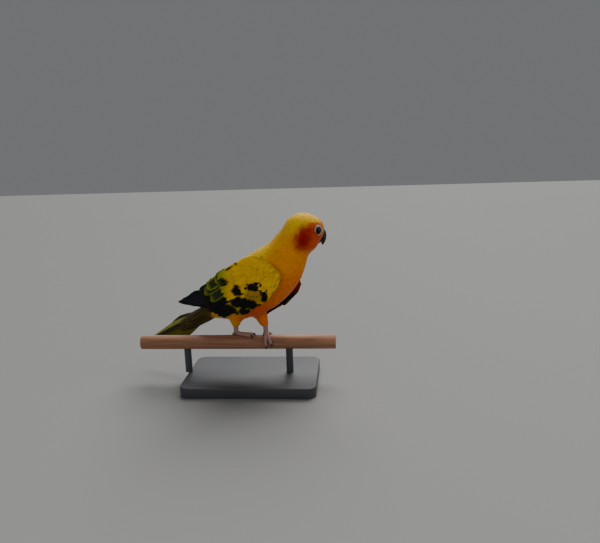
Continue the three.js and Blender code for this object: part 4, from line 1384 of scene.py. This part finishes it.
def ball_ways(axes, columns, rows, margin):
    """Ways out of a ball's middle, ring by ring, from the first axis to its far side."""
    around, tilt = np.meshgrid(turn_of(columns), np.linspace(margin, math.pi - margin, rows))
    ways = [np.cos(tilt), np.sin(tilt) * np.cos(around), np.sin(tilt) * np.sin(around)]
    return np.stack(ways, axis=-1) @ np.array(axes)


def make_cere():
    way = ball_ways(np.eye(3), columns=48, rows=30, margin=0.02)
    points = CERE_CENTRE + way * CERE_RADII
    for side in (1, -1):
        near = np.linalg.norm(points - NOSTRIL * (1, side, 1), axis=-1)
        points = points - way * (1.1 * (1 - ramp(near, 0.35, 1.1)))[..., None]
        points = points + way * (0.25 * (1 - ramp(np.abs(near - 1.3), 0.1, 0.5)))[..., None]
    piece = closed_rings("cere", [to_world(from_head(points))], cere_skin)


cere_skin = skin_finish("cere skin", linear(120, 96, 86), linear(64, 48, 42), 1500.0, 0.55)
make_cere()
print("cere at", from_head(CERE_CENTRE).round(1))

# %% [markdown]
# A conure's eye looks out of a ring of bare white skin, with thin lids on its inner edge; the ring's
# outer part is darkened to mauve-grey with painted shade. The ring is a profile turned about the way
# the eye looks. The ball lies deep behind it, with a dark brown iris, a black pupil and a clear wet
# coat that takes one sharp highlight.

# %% Eyes, lids and bare rings
EYE_FORWARD = math.radians(15)
EYE_RADIUS = 5
EYE_SIDES = 72
EYE_DEPTH = 2.7
PUPIL = (0.003, 0.003, 0.004, 1)
RING_PROFILE = [
    (3.95, -0.6), (3.98, -0.2), (4.05, 0.1), (4.2, 0.36), (4.42, 0.42), (4.62, 0.3), (4.78, 0.18),
    (4.95, 0.2), (5.15, 0.1), (5.4, -0.15), (5.65, -0.5), (5.9, -1.0), (6.05, -1.6),
]


def eye_material():
    finish = Finish("eye", Specular_IOR_Level=0.1, Coat_Weight=0.45)
    fleck = finish.noise(finish.place(), 1800.0, 3.0)
    iris = finish.mix(linear(14, 9, 6), linear(38, 24, 15), fleck)
    band = finish.add("ShaderNodeMapRange", finish.kept("away"), 0.48, 0.56)
    return finish.surface(finish.mix(PUPIL, iris, band), 0.12)


def ring_material():
    finish = Finish("bare eye ring", Subsurface_Weight=0.1, Subsurface_Scale=0.5 * MM)
    grains = finish.cells(finish.place(), 1500.0)
    # painted shade: the ring's outer part is mixed towards mauve-grey
    share = grains * 0.5 + finish.kept("outward")
    colour = finish.mix(linear(236, 212, 204), linear(134, 98, 98), share)
    return finish.surface(colour, 0.6, grains, 0.4, 0.08)


def make_eye(side, name):
    out = np.array((math.sin(EYE_FORWARD), side * math.cos(EYE_FORWARD), 0))
    up = np.array((0, 0, 1.0))
    across = np.cross(up, out)
    lid = LID_CENTRE * (1, side, 1)
    ways = ball_ways((out, across, up), EYE_SIDES, rows=40, margin=0.01)
    ball = lid - EYE_DEPTH * out + EYE_RADIUS * ways
    piece = closed_rings(f"eyeball_{name}", [to_world(from_head(ball))], eye_gloss)
    ahead = ways @ out
    put_attributes(piece.data, away=np.where(ahead > 0, np.sqrt(np.maximum(1 - ahead**2, 0)), 1))
    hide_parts(f"eye_{name}")
    turn = turn_of(EYE_SIDES)
    circle = np.cos(turn)[:, None] * across + np.sin(turn)[:, None] * up
    oval = (1 + 0.05 * np.cos(turn) ** 2)[:, None]
    rings = []
    for radius, height in RING_PROFILE:
        wrinkle = 0.05 * np.sin(turn * 19 + radius * 3) * (3.9 < radius < 5.8)
        rings.append(lid + circle * radius * oval + out * (height + wrinkle)[:, None])
    ring = closed_rings(f"eye_ring_{name}", [to_world(from_head(rings))], ring_skin)
    # marks the ring's outer part, which the finish darkens with painted shade
    outward = ramp(np.array(RING_PROFILE)[:, 0], 4.7, 5.3)
    put_attributes(ring.data, outward=np.repeat(outward, len(turn)))


eye_gloss = eye_material()
ring_skin = ring_material()
make_eye(1, "left")
make_eye(-1, "right")
print("eyes made, with balls of radius", EYE_RADIUS, "mm")

# %% [markdown]
# A parrot's foot has two toes in front and two behind. One foot lies along the top of the perch and
# the other grips over its front. Each toe is a tube round the perch. All the tubes of a foot are
# melted together by a fine voxel remesh, and a value that counts the scutes along each toe is kept.

# %% Feet
GAP = 0.32
TOE_RADIUS = 1.9
WRAP = PERCH_RADIUS + TOE_RADIUS + GAP
FOOT_VOXEL = 0.34
SEARCH_BLOCK = 4000
TOES = {
    "right": ((-34, -6, 18), (-14, -6, 21), (66, 6, -6), (56, 6, 5)),
    "left": ((-98, -6, 1), (-84, -6, 7), (66, 6, -4), (56, 6, 5)),
}


def tube_rings(path, radii, sides=20):
    along = unit(np.gradient(path, axis=0))
    first = np.where(np.abs(along[:, :1]) < 0.9, np.array((1.0, 0, 0)), np.array((0, 0, 1.0)))
    a = unit(first - along * (first * along).sum(1, keepdims=True))[:, None]
    b = np.cross(along, a[:, 0])[:, None]
    turn = turn_of(sides)[None, :, None]
    return path[:, None] + radii[:, None, None] * (np.cos(turn) * a + np.sin(turn) * b)


def around(side, angle, drift, out=0.0):
    a = np.radians(angle)
    reach = WRAP + out
    x = FOOT_AT[side] + drift + 0 * a
    return np.stack([x, np.sin(a) * reach, np.cos(a) * reach], axis=-1) @ BIRD_TURN


def foot_tubes(side):
    top = on_perch(FOOT_AT[side], 0, ANKLE_HEIGHT + 1.5)
    t = np.linspace(0, 1, 30)
    path = top + (around(side, np.array(0.0), 0, 0.8) - top) * t[:, None]
    tubes = [(path, 2.95 - 0.3 * t + 0.5 * (t - 0.7) ** 2, 9 * t)]
    t = np.linspace(0, 1, 60)
    for reach, start, drift in TOES[side]:
        angle = start * 0.3 + (reach - start * 0.3) * t
        path = around(side, angle, drift * (0.1 + 0.9 * t), 0.1)
        pads = 0.12 * np.sin(2 * math.pi * (3 * t + 0.1))
        radii = TOE_RADIUS * (1.12 - 0.24 * t) + 0.6 * pads
        rounded = np.sqrt(np.clip(1 - ((t - 0.96) / 0.045) ** 2, 0.15, 1))
        tubes.append((path, radii * np.where(t > 0.96, rounded, 1), 14 * t))
    return tubes


def make_foot(side):
    paths, radii, counts = zip(*foot_tubes(side))
    tubes = [to_world(tube_rings(path, radius)) for path, radius in zip(paths, radii)]
    piece = closed_rings(f"scaled_foot_{side}", tubes)
    melt(piece, FOOT_VOXEL, relaxing=4)
    points = to_bird(points_of(piece.data))
    line = np.concatenate(paths)
    nearest = []
    for start in range(0, len(points), SEARCH_BLOCK):
        block = points[start:start + SEARCH_BLOCK, None]
        nearest.append(((block - line) ** 2).sum(2).argmin(1))
    put_attributes(piece.data, scutes=np.concatenate(counts)[np.concatenate(nearest)])
    piece.data.materials.append(foot_skin)
    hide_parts(f"foot_{side}")
    say_size(piece)


def foot_material():
    finish = Finish("scaled foot", Specular_IOR_Level=0.4)
    edge = finish.maths("FRACT", finish.kept("scutes")) - 0.5
    crease = finish.maths("POWER", finish.maths("ABSOLUTE", edge) * 2.0, 5.0)
    place = finish.place()
    blotch = finish.noise(place, 160.0, 3.0)
    pink = finish.mix(linear(206, 166, 152), linear(142, 108, 100), blotch)
    colour = finish.mix(pink, linear(74, 56, 52), crease * 0.55)
    height = crease * -1.0 + finish.cells(place, 850.0) * 0.5
    return finish.surface(colour, 0.55, height, 0.7, 0.25)


foot_skin = foot_material()
for side in ("left", "right"):
    make_foot(side)

# %% [markdown]
# The claws are dark horn, one curved cone to each toe. They leave the toe's end and hug the perch.

# %% Claws
CLAW_TURN = 30


def make_claws(side):
    t = np.linspace(0, 1, 24)
    cones = []
    for reach, _, drift in TOES[side]:
        angle = reach + np.sign(reach) * CLAW_TURN * t * PERCH_RADIUS / WRAP
        path = around(side, angle, drift * (1 + 0.12 * t), 0.5 + 1.2 * np.sin(math.pi * t))
        cones.append(to_world(tube_rings(path, 1.15 * (1 - t) ** 0.75 + 0.16, 16)))
    piece = closed_rings(f"claws_{side}", cones, claw_horn)
    say_size(piece)


claw_horn = horn_material("claw horn", linear(44, 36, 32), linear(104, 88, 78), 400.0)
for side in ("left", "right"):
    make_claws(side)

# %% [markdown]
# The perch is a plain softwood dowel, cut square and a little rounded at its ends. Its grain runs
# along it, with darker streaks and small pores, and the streaks are a little less glossy.

# %% Wood group and perch
PORE = linear(92, 62, 48)
DOWEL_EASE = 0.5
DOWEL_SIDES = 96
SHARP = math.radians(35)


def wood_group():
    inputs = {"Light": "Color", "Dark": "Color"}
    grow = Group("wood grain", "ShaderNodeTree", inputs, FINISH_OUTPUTS)
    long = grow.add("ShaderNodeMapping", grow.place(), Scale=(0.05, 1, 1))
    streak = grow.noise(long, 420.0, 5.0, 0.4)
    broad = grow.noise(long, 90.0, 2.0, 1.2)
    pores = grow.maths("LESS_THAN", grow.noise(long, 1900.0), 0.36)
    share = grow.add("ShaderNodeMapRange", streak * 0.65 + broad * 0.55, 0.42, 0.82)
    colour = grow.mix(grow.given["Light"], grow.given["Dark"], share)
    colour = grow.mix(colour, PORE, pores * 0.35)
    return grow.give(Color=colour, Roughness=streak * 0.3 + 0.42, Height=streak * 0.6 - pores)


WOOD = wood_group()


def wood_material(name, light, dark):
    finish = Finish(name, Specular_IOR_Level=0.35)
    grain = finish.add("ShaderNodeGroup", node_tree=WOOD, Light=light, Dark=dark)
    return finish.surface(grain["Color"], grain["Roughness"], grain["Height"], 0.35, 0.1)


def turned_piece(name, profile, axis, middle, sides, material):
    """A closed form of revolution: profile holds (place along the axis, radius), in millimetres."""
    circle = [np.zeros(sides), np.cos(turn_of(sides)), np.sin(turn_of(sides))]
    circle = np.roll(np.stack(circle, axis=1), axis, axis=1)
    rings = [circle * radius + np.eye(3)[axis] * along + middle for along, radius in profile]
    piece = closed_rings(name, [np.array(rings) * MM], material)
    piece.data.set_sharp_from_angle(angle=SHARP)
    return piece


def make_perch():
    left, right = perch_low.x / MM, perch_high.x / MM
    flat = PERCH_RADIUS - DOWEL_EASE
    profile = [(left, flat)]
    for a in (0.5, 1.0, 1.5):
        profile.append((left + DOWEL_EASE * (1 - math.cos(a)), flat + DOWEL_EASE * math.sin(a)))
    cut_end = profile[::-1]
    profile += [(x, PERCH_RADIUS) for x in np.linspace(left + DOWEL_EASE, right - DOWEL_EASE, 40)]
    profile += [(right - (x - left), radius) for x, radius in cut_end]
    piece = turned_piece("dowel", profile, 0, (0, 0, PERCH_HEIGHT), DOWEL_SIDES, dowel_wood)
    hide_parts("perch")


dowel_wood = wood_material("dowel wood", linear(184, 132, 100), linear(126, 82, 60))
make_perch()
print("perch from", round(perch_low.x, 3), "to", round(perch_high.x, 3))

# %% [markdown]
# The stand is painted metal: a thick plate with rounded corners and two rods up to the perch. The
# paint has a fine orange-peel grain and gets a little lighter and less glossy in broad soft patches.

# %% Stand
BASE_CORNER = 10
BASE_BEVEL = 1.2
BASE_FOOT = ((0, 0.6), (0.3, 0.1), (0.7, 0))
CORNER_SIDES = 12
BASE_SHARP = math.radians(40)
ROD_SIDES = 64
ROD_EASE = 0.2


def paint_material(name, colour, lighter):
    finish = Finish(name, Specular_IOR_Level=0.5)
    place = finish.place()
    cloud = finish.noise(place, 30.0, 4.0)
    mixed_paint = finish.mix(colour, lighter, cloud)
    peel = finish.noise(place, 1400.0)
    return finish.surface(mixed_paint, cloud * 0.25 + 0.34, peel, 0.2, 0.06)


def make_rod(node_name):
    low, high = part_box(node_name)
    middle = ((low.x + high.x) / 2 / MM, (low.y + high.y) / 2 / MM, 0)
    radius = (high.x - low.x) / 2 / MM
    bottom = low.z / MM
    top = PERCH_HEIGHT - PERCH_RADIUS - GAP
    profile = [(bottom, radius - ROD_EASE), (bottom + ROD_EASE, radius)]
    profile += [(z, radius) for z in np.linspace(bottom + 0.5, top, 12)]
    name = node_name.replace("stand_", "painted_")
    piece = turned_piece(name, profile, 2, middle, ROD_SIDES, stand_paint)
    points = points_of(piece.data) / MM
    saddle = PERCH_HEIGHT - np.sqrt((PERCH_RADIUS + GAP) ** 2 - points[:, 1] ** 2)
    points[:, 2] = np.where(points[:, 2] > top - 0.01, saddle, points[:, 2])
    put_points(piece.data, points * MM)
    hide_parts(node_name)


def make_base():
    low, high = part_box("stand_base")
    half_x = (high.x - low.x) / 2 / MM
    half_y = (high.y - low.y) / 2 / MM
    height = (high.z - low.z) / MM
    steps = list(BASE_FOOT)
    for a in np.linspace(0, math.pi / 2, 7):
        steps.append((height - BASE_BEVEL * (1 - math.sin(a)), BASE_BEVEL * (1 - math.cos(a))))
    quarter = np.linspace(0, math.pi / 2, CORNER_SIDES)
    angle = (quarter + np.arange(4)[:, None] * math.pi / 2).ravel()
    circle = np.stack([np.cos(angle), np.sin(angle), 0 * angle], axis=1)
    signs = np.repeat([(1, 1, 0), (-1, 1, 0), (-1, -1, 0), (1, -1, 0)], CORNER_SIDES, axis=0)
    middles = signs * (half_x - BASE_CORNER, half_y - BASE_CORNER, 0)
    rings = [middles + (BASE_CORNER - inset) * circle + (0, 0, z) for z, inset in steps]
    piece = closed_rings("painted_base", [np.array(rings) * MM], stand_paint)
    piece.data.set_sharp_from_angle(angle=BASE_SHARP)
    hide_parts("stand_base")


stand_paint = paint_material("stand paint", linear(58, 60, 64), linear(72, 74, 78))
make_base()
for node_name in ("stand_rod_front", "stand_rod_rear"):
    make_rod(node_name)
print("stand made, with a bevel of", BASE_BEVEL, "mm")

# %% [markdown]
# The set is plain: a pale floor, a large soft light behind and above like the photograph's window,
# a broad fill from the camera's side, a smaller one from the right, and a dim grey surround.

# %% Floor and light
FLOOR_HALF = 3
FLOOR_GREY = (0.235, 0.235, 0.231, 1)
LIT_PLACE = (0, 0, 0.12)
SURROUND = (0.72, 0.74, 0.76, 1)
SURROUND_POWER = 0.23


def make_floor():
    corners = [(x, y, 0) for x, y in ((-1, -1), (1, -1), (1, 1), (-1, 1))]
    floor = mesh_object("floor", np.array(corners) * FLOOR_HALF, [(0, 1, 2, 3)], closed=False)
    floor.data.materials.append(Finish("floor").surface(FLOOR_GREY, 0.8))


def aimed_light(name, kind, place, power, colour):
    data = bpy.data.lights.new(name, kind)
    data.energy = power
    data.color = colour
    way = Vector(place) - Vector(LIT_PLACE)
    turn = way.to_track_quat("Z", "Y").to_matrix().to_4x4()
    linked(name, data).matrix_world = Matrix.Translation(place) @ turn
    return data


def panel(name, place, size, power, colour):
    data = aimed_light(name, "AREA", place, power, colour)
    data.shape = "RECTANGLE"
    data.size, data.size_y = size


make_floor()
window = aimed_light("window", "SUN", (0.2, 0.9, 1.3), 3.6, (1, 0.99, 0.97))
window.angle = math.radians(50)
panel("fill", (-0.5, -1.4, 0.7), (1.4, 1.2), 4.0, (1, 0.98, 0.95))
panel("right", (1.3, -0.4, 0.8), (0.9, 0.9), 3.2, (0.97, 0.98, 1))
world = bpy.data.worlds.new("surround")
world.use_nodes = True
world.node_tree.nodes["Background"].inputs[0].default_value = SURROUND
world.node_tree.nodes["Background"].inputs[1].default_value = SURROUND_POWER
bpy.context.scene.world = world
print("lights:", [light.name for light in bpy.data.lights])

# %% End
bpy.context.view_layer.update()
